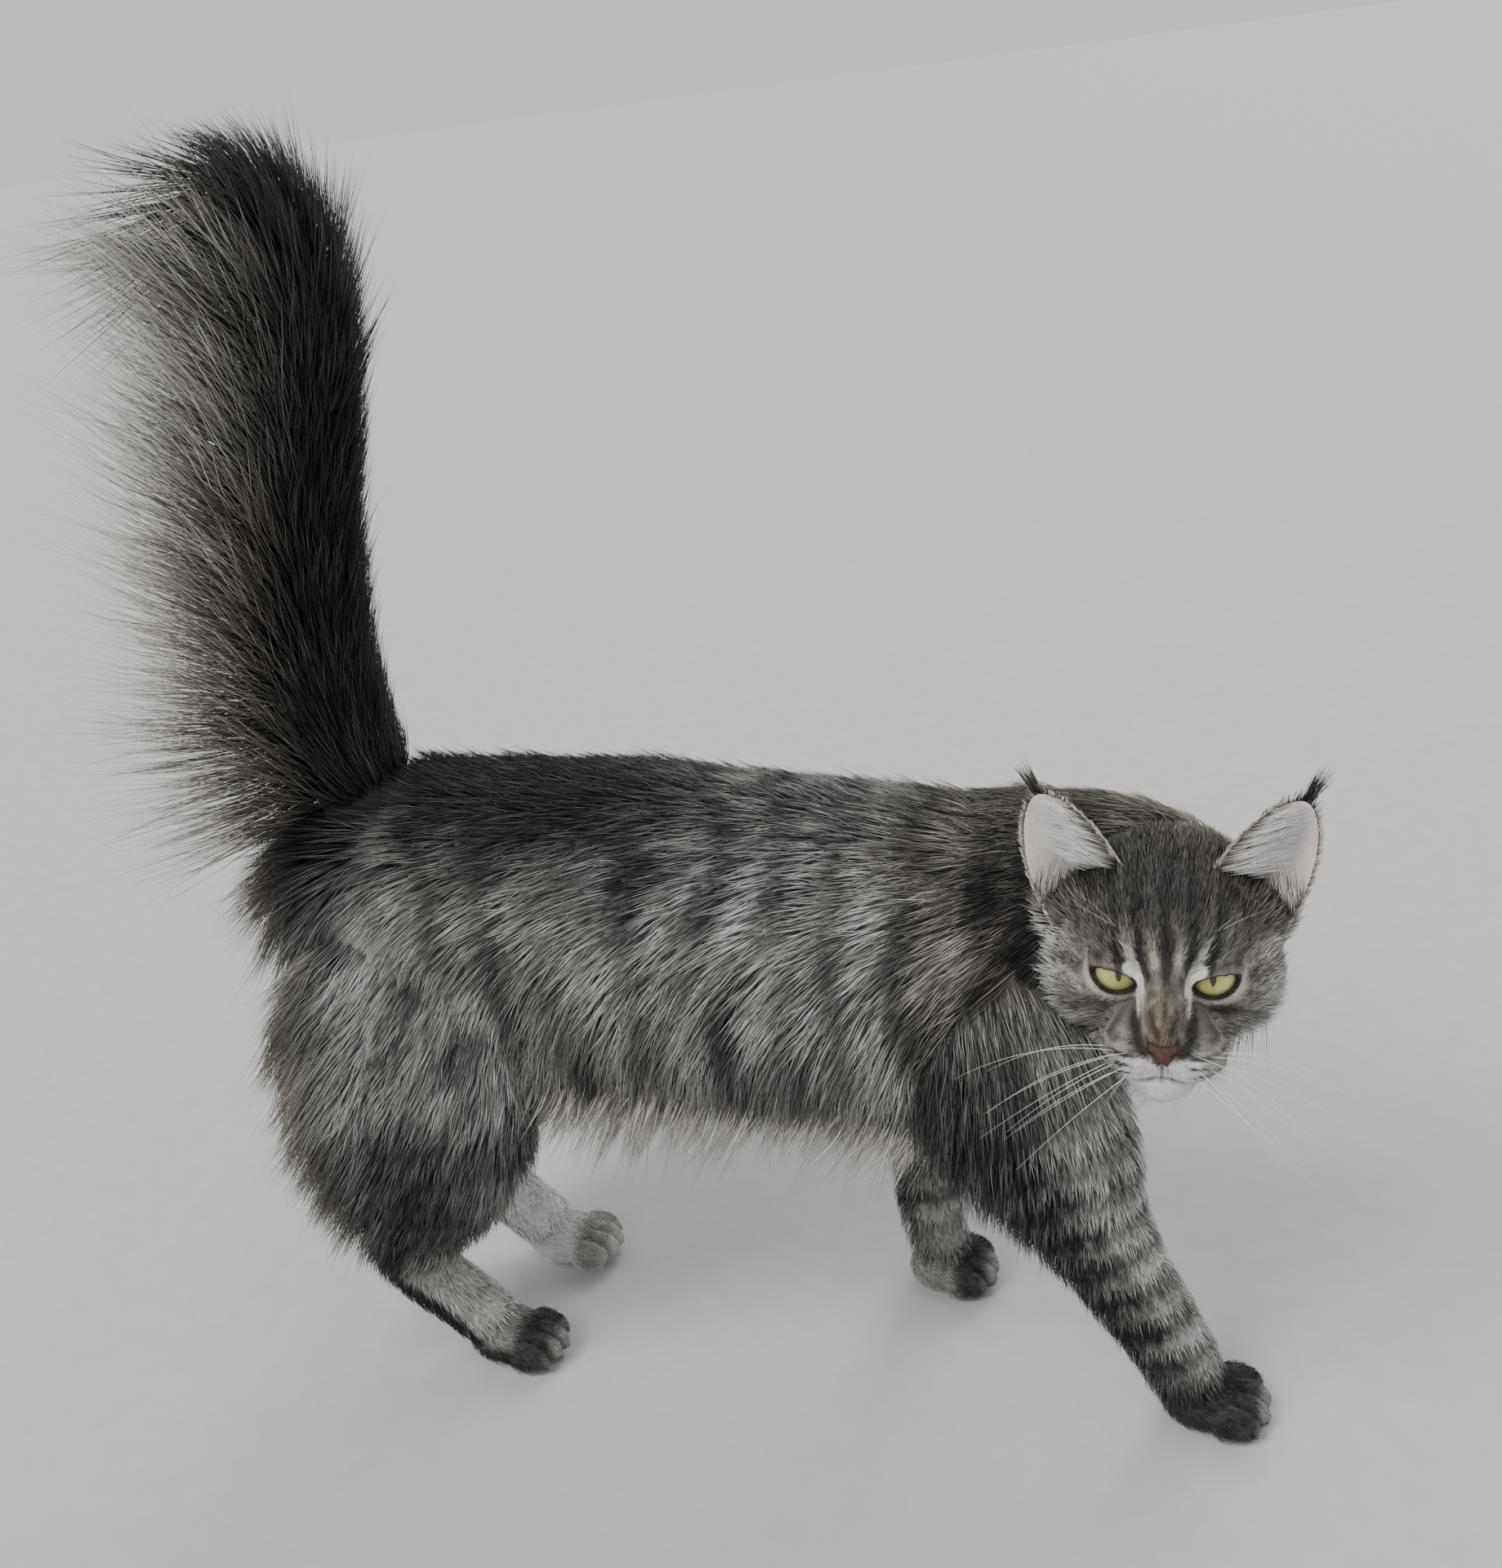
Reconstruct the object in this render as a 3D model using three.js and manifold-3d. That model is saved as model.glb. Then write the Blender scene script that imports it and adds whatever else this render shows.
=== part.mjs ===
// A Maine Coon cat in mid stride, life size, as a still museum model.
// Millimetres, +Z up. The cat walks towards +X and turns its head to its right, towards -Y.
// The flesh is lofted along the trunk, neck, legs and tail, and the head is sculpted from ellipsoids.
// Long coat is built as flat tapered locks that lie backwards and down, rooted in their own node.
import * as THREE from "three";
import { mergeVertices } from "three/addons/utils/BufferGeometryUtils.js";
import Module from "manifold-3d";

const wasm = await Module();
wasm.setup();
const { Manifold, Mesh } = wasm;

// Driving dimensions
const BACK_HEIGHT = 350; // top of the core at the rump, under the hair tips
const TRUNK_LENGTH = 398; // chest to buttocks
const TRUNK_HALF_WIDTH = 70;
const HEAD_CENTRE = new THREE.Vector3(193, -43, 286);
const EYE_RADIUS = 11;
const EYE_SPACING = 38;
const EAR_HEIGHT = 40;
const GAP = 0.3; // between neighbouring solids

const V = (x, y, z) => new THREE.Vector3(x, y, z);
const rad = THREE.MathUtils.degToRad;
const lerp = THREE.MathUtils.lerp;
const clamp = THREE.MathUtils.clamp;

// A seeded random draw, so that the coat is the same each time
let seed = 7;
function random() {
  seed = (seed * 16807) % 2147483647;
  return seed / 2147483647;
}
const vary = (value, share) => value * (1 + share * (2 * random() - 1));

// A closed triangle list as a solid, turned to face outwards
function solidOf(points, triangles) {
  const geometry = new THREE.BufferGeometry();
  const flat = new Float32Array(points.length * 3);
  points.forEach((p, i) => p.toArray(flat, i * 3));
  geometry.setAttribute("position", new THREE.BufferAttribute(flat, 3));
  geometry.setIndex(triangles.flat());
  return solidOfGeometry(geometry);
}

function solidOfGeometry(geometry) {
  const bare = new THREE.BufferGeometry();
  bare.setAttribute("position", geometry.getAttribute("position"));
  bare.setIndex(geometry.index);
  const merged = mergeVertices(bare, 1e-4);
  const triVerts = new Uint32Array(merged.index.array);
  const vertProperties = merged.attributes.position.array;
  const made = new Manifold(new Mesh({ numProp: 3, vertProperties, triVerts }));
  if (made.volume() > 0) return made;
  for (let i = 0; i < triVerts.length; i += 3) {
    [triVerts[i + 1], triVerts[i + 2]] = [triVerts[i + 2], triVerts[i + 1]];
  }
  return new Manifold(new Mesh({ numProp: 3, vertProperties, triVerts }));
}

// Rings of equal length, closed by a point or a fan at each end
function skinRings(rings, first, last) {
  const points = rings.flat();
  const n = rings[0].length;
  const triangles = [];
  for (let r = 0; r + 1 < rings.length; r++) {
    for (let i = 0; i < n; i++) {
      const a = r * n + i;
      const b = r * n + ((i + 1) % n);
      triangles.push([a, b, b + n], [a, b + n, a + n]);
    }
  }
  const start = points.push(first) - 1;
  const end = points.push(last) - 1;
  const tail = (rings.length - 1) * n;
  for (let i = 0; i < n; i++) {
    const j = (i + 1) % n;
    triangles.push([start, j, i], [end, tail + i, tail + j]);
  }
  return solidOf(points, triangles);
}

// A body part lofted through stations of [x, y, z, half width, half depth]
class Loft {
  constructor(stations, up, options = {}) {
    this.stations = stations;
    this.up = up;
    this.slim = options.slim ?? 0; // how much narrower the upper half is than the lower
    this.curve = new THREE.CatmullRomCurve3(
      stations.map((s) => V(s[0], s[1], s[2])),
      false,
      "centripetal",
    );
  }

  // The half width and half depth at t from 0 to 1, eased between the stations
  size(t) {
    const k = clamp(t, 0, 1) * (this.stations.length - 1);
    const i = Math.min(Math.floor(k), this.stations.length - 2);
    const f = k - i;
    const ease = f * f * (3 - 2 * f) * 0.35 + f * 0.65;
    const [a, b] = [this.stations[i], this.stations[i + 1]];
    return [lerp(a[3], b[3], ease), lerp(a[4], b[4], ease)];
  }

  frame(t) {
    const centre = this.curve.getPoint(t);
    const along = this.curve.getTangent(t);
    const across = V().crossVectors(this.up, along).normalize();
    const upward = V().crossVectors(along, across).normalize();
    return { centre, along, across, upward };
  }

  // The point on the surface at t along and angle round, with its outward normal
  at(t, angle, grow = 0) {
    const { centre, along, across, upward } = this.frame(t);
    const [w, h] = this.size(t);
    const [c, s] = [Math.cos(angle), Math.sin(angle)];
    const width = (w + grow) * (1 - this.slim * s);
    const point = centre
      .clone()
      .addScaledVector(across, width * c)
      .addScaledVector(upward, (h + grow) * s);
    const normal = V()
      .addScaledVector(across, c / w)
      .addScaledVector(upward, s / h)
      .normalize();
    return { point, normal, along, across, upward };
  }

  solid(steps, sides, grow = 0, from = 0, to = 1) {
    const rings = [];
    for (let r = 0; r <= steps; r++) {
      const ring = [];
      for (let i = 0; i < sides; i++) {
        ring.push(this.at(lerp(from, to, r / steps), (2 * Math.PI * i) / sides, grow).point);
      }
      rings.push(ring);
    }
    const cap = (t, way) => {
      const { centre, along } = this.frame(t);
      return centre.addScaledVector(along, way * (0.35 * this.size(t)[1] + grow));
    };
    return skinRings(rings, cap(from, -1), cap(to, 1));
  }

  // How deep a point lies inside, as a share: below 1 is inside
  depth(point, samples = 40) {
    let least = Infinity;
    for (let k = 0; k <= samples; k++) {
      const t = k / samples;
      const { centre, along, across, upward } = this.frame(t);
      const [w, h] = this.size(t);
      const d = point.clone().sub(centre);
      const share = Math.hypot(d.dot(across) / w, d.dot(upward) / h, d.dot(along) / Math.min(w, h));
      least = Math.min(least, share);
    }
    return least;
  }
}

// A flat tapered lock that leaves the skin along `lie`, lifts off it, and droops at its tip
function lockPath({ point, normal, lie, length, lift, droop = 0, sink = 6 }) {
  const root = point.clone().addScaledVector(normal, -sink);
  const rise = Math.sin(lift);
  const out = lie.clone().multiplyScalar(Math.cos(lift)).addScaledVector(normal, rise).normalize();
  return (t) =>
    root
      .clone()
      .addScaledVector(normal, sink * Math.min(1, 2.5 * t))
      .addScaledVector(out, length * t)
      .add(V(0, 0, -droop * t * t));
}

const LOCK_TAPER = [
  [0, 0.8],
  [0.5, 1],
];

function lockSolid(spec, grow = 0) {
  const path = lockPath(spec);
  const heading = path(0.9).sub(path(0.3)).normalize();
  const side = V().crossVectors(spec.lie, spec.normal).normalize();
  side.applyAxisAngle(heading, spec.twist ?? 0);
  const rings = LOCK_TAPER.map(([t, share]) => {
    const centre = path(t);
    const ahead = path(t + 0.02).sub(centre).normalize();
    const face = V().crossVectors(side, ahead).normalize();
    const half = (spec.width / 2) * share + grow;
    const thick = (spec.thick / 2) * (1.2 - 0.7 * t) + grow;
    return [
      centre.clone().addScaledVector(side, half),
      centre.clone().addScaledVector(face, thick),
      centre.clone().addScaledVector(side, -half),
      centre.clone().addScaledVector(face, -thick),
    ];
  });
  const inner = path(0);
  const tip = path(1 + grow / spec.length);
  return skinRings(rings, inner, tip);
}

// The coat of one loft: rows of locks at the given places
function coat(loft, rows, avoid = []) {
  const specs = [];
  for (const row of rows) {
    const count = row.count;
    for (let i = 0; i < count; i++) {
      const u = count === 1 ? 0.5 : i / (count - 1);
      const t = clamp(row.t + (row.tStep ?? 0) * u + 0.012 * (random() - 0.5), 0, 1);
      const angle = lerp(row.from, row.to, u) + 0.1 * (random() - 0.5);
      const place = loft.at(t, angle);
      const spec = row.spec(place, u, t, angle);
      if (!spec) continue;
      const path = lockPath(spec);
      const clear = avoid.every((other) =>
        [0.3, 0.65, 1].every((k) => other.depth(path(k)) > 1.12),
      );
      if (clear) specs.push(spec);
    }
  }
  return specs;
}

// The direction over the skin that is nearest to a wanted one
function alongSkin(wanted, normal) {
  return wanted.clone().addScaledVector(normal, -wanted.dot(normal)).normalize();
}

const unite = (solids) => Manifold.union(solids);

// Trunk

const TRUNK_REAR = -234;
const trunkX = (share) => TRUNK_REAR + share * TRUNK_LENGTH;
const trunk = new Loft(
  [
    // x, y, z, half width, half depth
    [trunkX(0), 0, 300, 22, 30],
    [trunkX(0.05), 0, 294, 50, 54],
    [trunkX(0.13), 0, BACK_HEIGHT - 71, 64, 71],
    [trunkX(0.27), 0, BACK_HEIGHT - 79, 66, 79],
    [trunkX(0.43), 0, 268, TRUNK_HALF_WIDTH, 80],
    [trunkX(0.6), 0, 261, TRUNK_HALF_WIDTH + 2, 78],
    [trunkX(0.76), 0, 256, TRUNK_HALF_WIDTH, 76],
    [trunkX(0.88), 0, 252, 62, 74],
    [trunkX(0.96), 0, 246, 46, 60],
    [trunkX(1), 0, 240, 22, 34],
  ],
  V(0, 0, 1),
  { slim: 0.12 },
);

// Neck, which swings from the trunk's line to the turned head
const neck = new Loft(
  [
    [96, 0, 266, 56, 62],
    [132, 2, 274, 54, 58],
    [166, -6, 281, 49, 51],
    [190, -24, 285, 43, 45],
    [197, -44, 285, 36, 38],
  ],
  V(0, 0, 1),
);

// Legs, from the body down to the wrist or heel
const foreRight = new Loft(
  [
    [104, -36, 258, 27, 42],
    [122, -44, 220, 31, 42],
    [140, -48, 178, 27, 37],
    [153, -45, 134, 21, 28],
    [171, -40, 90, 18, 22.5],
    [190, -36, 50, 17, 19.5],
    [200, -34, 24, 17.5, 17],
  ],
  V(1, 0, 0),
);
const foreLeft = new Loft(
  [
    [96, 38, 256, 26, 40],
    [92, 45, 216, 28, 38],
    [78, 48, 172, 24, 31],
    [64, 50, 126, 19, 23],
    [58, 52, 84, 16.5, 18.5],
    [57, 53, 48, 16, 16.5],
    [61, 53, 24, 16.5, 15.5],
  ],
  V(1, 0, 0),
);
const thighRight = new Loft(
  [
    [-176, -34, 280, 32, 52],
    [-180, -46, 236, 37, 62],
    [-182, -53, 190, 34, 58],
    [-190, -53, 148, 27, 44],
    [-204, -50, 110, 20, 29],
  ],
  V(1, 0, 0),
);
const shankRight = new Loft(
  [
    [-206, -48, 108, 19.5, 27],
    [-220, -44, 82, 17, 22],
    [-216, -39, 58, 15.5, 19],
    [-201, -35, 38, 16, 17.5],
    [-186, -34, 22, 16, 15.5],
  ],
  V(1, 0, 0),
);
const thighLeft = new Loft(
  [
    [-172, 34, 280, 32, 52],
    [-172, 45, 236, 37, 62],
    [-178, 52, 190, 33, 56],
    [-192, 51, 148, 26, 42],
    [-210, 47, 112, 20, 28],
  ],
  V(1, 0, 0),
);
const shankLeft = new Loft(
  [
    [-212, 47, 110, 19.5, 26],
    [-226, 48, 86, 17, 21],
    [-217, 49, 60, 15.5, 18.5],
    [-199, 50, 38, 16, 17],
    [-182, 50, 22, 16, 15.5],
  ],
  V(1, 0, 0),
);

// Tail, held up, with its tip curling back
const tail = new Loft(
  [
    [-200, 0, 322, 25, 28],
    [-213, 0, 362, 22, 23],
    [-213, 0, 412, 18, 18],
    [-205, 0, 464, 16, 16],
    [-192, 0, 516, 15, 15],
    [-180, 0, 564, 14, 14],
    [-177, 0, 604, 13, 13],
    [-188, 0, 632, 11, 11],
    [-206, 0, 642, 8, 8],
  ],
  V(1, 0, 0),
);

// Head, in its own frame: +X to the cat's right, +Y out along the nose, +Z up
const HEAD_YAW = 181; // degrees from +Y, about +Z
const HEAD_PITCH = 0;
const HEAD_ROLL = -2.8;
const headFrame = new THREE.Matrix4()
  .makeTranslation(HEAD_CENTRE)
  .multiply(new THREE.Matrix4().makeRotationZ(rad(HEAD_YAW)))
  .multiply(new THREE.Matrix4().makeRotationX(rad(HEAD_PITCH)))
  .multiply(new THREE.Matrix4().makeRotationY(rad(HEAD_ROLL)));
const inHead = (x, y, z) => V(x, y, z).applyMatrix4(headFrame);
const headWay = (x, y, z) => V(x, y, z).transformDirection(headFrame);

// Each mass is its centre and its three radii. Paired masses are mirrored.
const HEAD_MASSES = [
  [0, -8, 5, 45, 46, 41], // skull
  [0, 20, 17, 32, 27, 22], // forehead
  [0, 42, 1, 11, 28, 12], // bridge of the nose
  [0, 42, -22, 21, 26, 18], // muzzle
  [0, 24, -30, 27, 32, 17], // jaw
  [0, 55, -35, 12, 13, 9], // chin
  [0, 65, -10, 7.5, 8.5, 7.5], // tip of the nose
];
const PAIRED_MASSES = [
  [27, 6, -14, 24, 28, 24], // cheek
  [11.5, 56, -20, 14.5, 15, 12.5], // whisker pad
  [20, 31, 17, 13, 10, 6], // brow
  [25, 27, -6, 14, 14, 10], // cheekbone
];
const headMasses = [
  ...HEAD_MASSES,
  ...PAIRED_MASSES,
  ...PAIRED_MASSES.map(([x, ...rest]) => [-x, ...rest]),
].map(([x, y, z, a, b, c]) => ({ centre: V(x, y, z), radii: V(a, b, c) }));

function ellipsoidDistance(point, { centre, radii }) {
  const p = point.clone().sub(centre);
  const k0 = p.clone().divide(radii).length();
  const k1 = p.clone().divide(radii).divide(radii).length();
  return k1 === 0 ? -radii.x : (k0 * (k0 - 1)) / k1;
}

const HEAD_BLEND = 7;
function headDistance(point) {
  let d = Infinity;
  for (const mass of headMasses) {
    const e = ellipsoidDistance(point, mass);
    if (d === Infinity) {
      d = e;
      continue;
    }
    const h = Math.max(HEAD_BLEND - Math.abs(d - e), 0) / HEAD_BLEND;
    d = Math.min(d, e) - h * h * HEAD_BLEND * 0.25;
  }
  return d;
}

// The head's surface point in a direction from its centre
function headPoint(way, grow = 0) {
  let far = 110;
  for (let i = 0; i < 60; i++) {
    const d = headDistance(way.clone().multiplyScalar(far)) - grow;
    if (Math.abs(d) < 0.005) break;
    far -= d * 0.9;
  }
  return way.clone().multiplyScalar(far);
}

const HEAD_RINGS = 15;
const HEAD_SIDES = 22;
const FACE_AXIS = V(0, 70, -16).normalize();
function headCore(grow = 0) {
  const right = V(1, 0, 0);
  const up = V().crossVectors(right, FACE_AXIS);
  const toward = (polar, turn) =>
    FACE_AXIS.clone()
      .multiplyScalar(Math.cos(polar))
      .addScaledVector(right, Math.sin(polar) * Math.cos(turn))
      .addScaledVector(up, Math.sin(polar) * Math.sin(turn));
  const rings = [];
  for (let r = 1; r < HEAD_RINGS; r++) {
    const polar = Math.PI * (r / HEAD_RINGS) ** 1.35;
    const ring = [];
    for (let i = 0; i < HEAD_SIDES; i++) {
      const way = toward(polar, (2 * Math.PI * i) / HEAD_SIDES);
      ring.push(headPoint(way, grow).applyMatrix4(headFrame));
    }
    rings.push(ring);
  }
  const front = headPoint(FACE_AXIS, grow).applyMatrix4(headFrame);
  const back = headPoint(FACE_AXIS.clone().negate(), grow).applyMatrix4(headFrame);
  return skinRings(rings, front, back);
}

const EYE_Y = 34;
const EYE_Z = 5;
const eyeAt = (side) => V(side * (EYE_SPACING / 2), EYE_Y, EYE_Z);

function ball(centre, radii, across = 12, down = 7) {
  const geometry = new THREE.SphereGeometry(1, across, down);
  geometry.scale(radii.x, radii.y, radii.z);
  geometry.translate(centre.x, centre.y, centre.z);
  geometry.applyMatrix4(headFrame);
  return solidOfGeometry(geometry);
}
const eyeball = (side, grow = 0) => ball(eyeAt(side), V(1, 1, 1).multiplyScalar(EYE_RADIUS + grow));

// The slanted almond between the lids, as a prism that points out of the head
const LID_WIDTH = 19;
const LID_HEIGHT = 11.5;
const LID_SLANT = rad(9);
const LID_THICK = 2.2;
function eyeOpening(side) {
  const centre = eyeAt(side);
  const outward = V(side * 0.22, 1, -0.03).normalize();
  const across = V().crossVectors(outward, V(0, 0, 1)).normalize();
  const upward = V().crossVectors(across, outward);
  const outline = [];
  const count = 10;
  for (let i = 0; i < count; i++) {
    const a = (2 * Math.PI * i) / count;
    const [c, s] = [Math.cos(a), Math.sin(a)];
    const high = s > 0 ? 0.42 : 0.58;
    const x = (LID_WIDTH / 2) * Math.sign(c) * Math.abs(c) ** 0.85;
    const z = LID_HEIGHT * high * s * (1 - 0.25 * Math.abs(c) ** 3);
    const slant = LID_SLANT * side;
    outline.push([x * Math.cos(slant) - z * Math.sin(slant), x * Math.sin(slant) + z * Math.cos(slant)]);
  }
  const ring = (along) =>
    outline.map(([x, z]) =>
      centre
        .clone()
        .addScaledVector(outward, along)
        .addScaledVector(across, x)
        .addScaledVector(upward, z)
        .applyMatrix4(headFrame),
    );
  const end = (along) => centre.clone().addScaledVector(outward, along).applyMatrix4(headFrame);
  return skinRings([ring(2), ring(30)], end(2), end(30));
}

// Where the face's surface lies in front of a point of the head's middle plane
function facePoint(x, z, sink = 0) {
  let y = 110;
  for (let i = 0; i < 60; i++) y -= headDistance(V(x, y, z)) * 0.9;
  return V(x, y - sink, z);
}

// A thin tube along the face, which cuts a crease
function crease(places, radius) {
  const points = places.map(([x, z]) => facePoint(x, z));
  const rings = points.map((p, i) => {
    const along = points[Math.min(i + 1, points.length - 1)].clone().sub(points[Math.max(i - 1, 0)]);
    const side = V().crossVectors(along, V(0, 1, 0)).normalize().multiplyScalar(radius);
    const out = V(0, radius, 0);
    return [p.clone().add(side), p.clone().add(out), p.clone().sub(side), p.clone().sub(out)].map((q) =>
      q.applyMatrix4(headFrame),
    );
  });
  const cap = (i) => points.at(i).clone().applyMatrix4(headFrame);
  return skinRings(rings, cap(0), cap(-1));
}

const LIP_LINE = [
  [3, -27.5],
  [12, -31],
  [22, -26.5],
];
function faceCreases() {
  const lips = [-1, 1].map((side) => crease(LIP_LINE.map(([x, z]) => [side * x, z]), 1.5));
  const cleft = crease([[0, -18], [0, -23], [0, -28.5]], 1.2);
  const joint = crease([[-5, -28], [0, -28], [5, -28]], 1.5);
  const nostrils = [-1, 1].map((side) => ball(facePoint(side * 4.4, -12.5), V(2, 2.4, 1.5), 6, 4));
  return unite([...lips, cleft, joint, ...nostrils]);
}

// The cheek's own ruff, swept down and out
function cheekRuff() {
  const specs = [];
  for (const side of [-1, 1]) {
    for (const [x, y, z] of [[48, -4, -4], [44, 0, -22], [34, 6, -38]]) {
      const way = V(side * x, y, z).normalize();
      specs.push({
        point: headPoint(way).applyMatrix4(headFrame),
        normal: way.clone().transformDirection(headFrame),
        lie: headWay(side * 0.3, -0.3, -0.9),
        length: vary(30, 0.1),
        lift: rad(16),
        droop: 0,
        sink: 6,
        width: 26,
        thick: 5,
      });
    }
  }
  return specs;
}

function head(grow) {
  const flesh = unite([
    headCore(grow),
    ...[-1, 1].map((side) => eyeball(side, LID_THICK + grow)),
    ball(V(0, 69.5, -12), V(7 + grow, 5 + grow, 5.4 + grow), 8, 6),
    ...cheekLocks.map((spec) => lockSolid(spec, grow)),
  ]);
  if (grow > 0) return flesh;
  return flesh.subtract(unite([faceCreases(), eyeOpening(-1), eyeOpening(1)]));
}
const cheekLocks = cheekRuff();

const earEnds = (side) => ({
  base: V(side * 34, 2, 25),
  tip: V(side * 56, -6, 25 + EAR_HEIGHT),
});

// Ears: cupped shells that open forwards, with a tuft at the tip
function ear(side, grow = 0) {
  const { base, tip } = earEnds(side);
  const upward = tip.clone().sub(base);
  const height = upward.length();
  upward.normalize();
  const open = V(side * 0.12, 1, 0.15);
  open.addScaledVector(upward, -open.dot(upward)).normalize();
  const across = V().crossVectors(open, upward);
  const rows = 5;
  const columns = 6;
  const front = [];
  const back = [];
  for (let r = 0; r < rows; r++) {
    const v = r / rows;
    const half = 20.5 * (1 - v ** 1.7) * (1 + 0.12 * Math.sin(Math.PI * v)) + grow;
    const cup = 12 * (1 - v) ** 0.8;
    const thick = lerp(3.4, 1.8, v) / 2;
    const fronts = [];
    const backs = [];
    for (let c = 0; c <= columns; c++) {
      const u = (2 * c) / columns - 1;
      const deep = cup * (1 - u * u);
      const middle = base
        .clone()
        .addScaledVector(upward, height * v - (r === 0 ? 6 + grow : 0))
        .addScaledVector(across, u * half)
        .addScaledVector(open, -deep + 6 * (1 - v));
      const edge = 0.35 + 0.65 * Math.sqrt(Math.max(0, 1 - u * u));
      fronts.push(middle.clone().addScaledVector(open, thick * edge + grow));
      backs.push(middle.clone().addScaledVector(open, -thick * edge - grow));
    }
    front.push(fronts);
    back.push(backs);
  }
  const rings = front.map((f, r) => [...f, ...back[r].reverse()].map((p) => p.applyMatrix4(headFrame)));
  const foot = V();
  rings[0].forEach((p) => foot.add(p));
  foot.multiplyScalar(1 / rings[0].length);
  const end = tip.clone().addScaledVector(upward, 2 * grow).applyMatrix4(headFrame);
  return skinRings(rings, foot, end);
}

function earTufts(side) {
  const { base, tip } = earEnds(side);
  const upward = tip.clone().sub(base).normalize();
  return [-0.6, 0.6].map((k) => ({
    point: tip.clone().addScaledVector(upward, -7).applyMatrix4(headFrame),
    normal: headWay(0, 1, 0),
    lie: headWay(upward.x + 0.16 * k, upward.y - 0.1, upward.z),
    length: 20 - 4 * Math.abs(k),
    lift: 0,
    sink: 0,
    width: 6,
    thick: 2.6,
  }));
}

// Paws: a pad and four toes, flat where they meet the floor
function paw(heel, yaw, width, length, grow = 0) {
  const turn = new THREE.Matrix4()
    .makeTranslation(heel)
    .multiply(new THREE.Matrix4().makeRotationZ(yaw));
  const lump = (x, y, z, a, b, c, across, down) => {
    const geometry = new THREE.SphereGeometry(1, across, down);
    geometry.rotateX(Math.PI / 2);
    geometry.scale(a + grow, b + grow, c + grow);
    geometry.translate(x, y, z);
    geometry.applyMatrix4(turn);
    return solidOfGeometry(geometry);
  };
  const toes = [-1.5, -0.5, 0.5, 1.5].map((k) =>
    lump(length - 13 - 2.2 * k * k, k * width * 0.235, 10, 13, width * 0.15, 11.5, 6, 4),
  );
  const body = lump(length * 0.36, 0, 12, length * 0.46, width / 2 - 1, 15, 8, 6);
  return unite([body, ...toes]).trimByPlane([0, 0, 1], 0);
}

// The coat

// A lock on a loft's skin that lies the given way, as far as the skin lets it
const lockOn = (place, way, size) => ({
  point: place.point,
  normal: place.normal,
  lie: alongSkin(way, place.normal),
  ...size,
});

function trunkCoat() {
  const rows = [];
  const columns = 7;
  for (let c = 0; c < columns; c++) {
    const t = lerp(0.06, 0.94, c / (columns - 1));
    for (const side of [-1, 1]) {
      const turn = (degrees) => (side < 0 ? Math.PI - rad(degrees) : rad(degrees));
      rows.push({
        t,
        count: 4,
        from: turn(62 - 12 * (c % 2)),
        to: turn(-76),
        spec: (place, u) =>
          lockOn(place, V(-1 + 0.75 * u, 0, -0.3 - 1.1 * u), {
            length: vary(lerp(62, 76, u), 0.08),
            lift: rad(lerp(13, 25, u)),
            droop: lerp(0, 8, u),
            width: vary(62, 0.08),
            thick: 6.5,
          }),
      });
    }
  }
  return coat(trunk, rows, [thighRight, thighLeft, foreRight, foreLeft]);
}

function rumpCoat() {
  return coat(trunk, [
    {
      t: 0.03,
      count: 5,
      from: rad(-25),
      to: rad(205),
      spec: (place) =>
        lockOn(place, V(-1, 0, -0.8), {
          length: vary(54, 0.08),
          lift: rad(20),
          droop: 6,
          width: 46,
          thick: 6.5,
        }),
    },
  ]);
}

// The ruff, longest under the throat
function neckCoat() {
  const rows = [0.14, 0.55].map((t, c) => ({
    t,
    count: 8,
    from: rad(35 + 8 * (c % 2)),
    to: rad(-215 + 8 * (c % 2)),
    spec: (place, u) => {
      const low = Math.sin(Math.PI * u);
      return lockOn(place, V(-0.9 + 0.8 * low, 0, -0.3 - 1.1 * low), {
        length: vary(lerp(46, 66, low), 0.1),
        lift: rad(lerp(14, 22, low)),
        droop: 5 * low,
        width: vary(46, 0.1),
        thick: 6,
      });
    },
  }));
  return coat(neck, rows);
}

// The plume: flat locks on its front and sides, and blades behind that make the hanging fringe
const PLUME = [
  // degrees round from the middle of the front, twist in degrees
  [0, 0],
  [75, 15],
  [-75, -15],
  [140, 62],
  [-140, -62],
  [180, 88],
];
const PLUME_STEP = 0.12;
function tailCoat(first, last) {
  const specs = [];
  for (let t = first; t < last - 0.01; t += PLUME_STEP) {
    for (const [degrees, twist] of PLUME) {
      const angle = rad(90 - degrees) + 0.12 * (random() - 0.5);
      const place = tail.at(clamp(t + 0.03 * random(), 0.08, 0.99), angle);
      const rear = (1 - Math.cos(rad(degrees))) / 2;
      const reach = lerp(46, 98 + 34 * Math.sin(Math.PI * t), rear);
      specs.push({
        point: place.point,
        normal: place.normal,
        lie: place.along.clone(),
        length: vary(reach, 0.07),
        lift: rad(lerp(26, 58, rear)),
        droop: 0.22 * reach * rear,
        sink: 5,
        twist: rad(twist),
        width: vary(lerp(32, 66, rear), 0.08),
        thick: 5.5,
      });
    }
  }
  return specs.filter((spec) => trunk.depth(lockPath(spec)(1)) > 1.1);
}

// The britches, long behind the thigh
function thighCoat(loft) {
  const rows = [0.12, 0.4, 0.66, 0.92].map((t, r) => ({
    t,
    count: 4,
    from: rad(-165),
    to: rad(-15),
    spec: (place, u) => {
      const behind = Math.sin(Math.PI * u);
      return lockOn(place, V(-0.6, 0, -1), {
        length: vary(lerp(48, 66 - 5 * r, behind), 0.08),
        lift: rad(lerp(10, 30, behind)),
        droop: 4,
        width: vary(37, 0.08),
        thick: 6,
      });
    },
  }));
  return coat(loft, rows);
}

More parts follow.
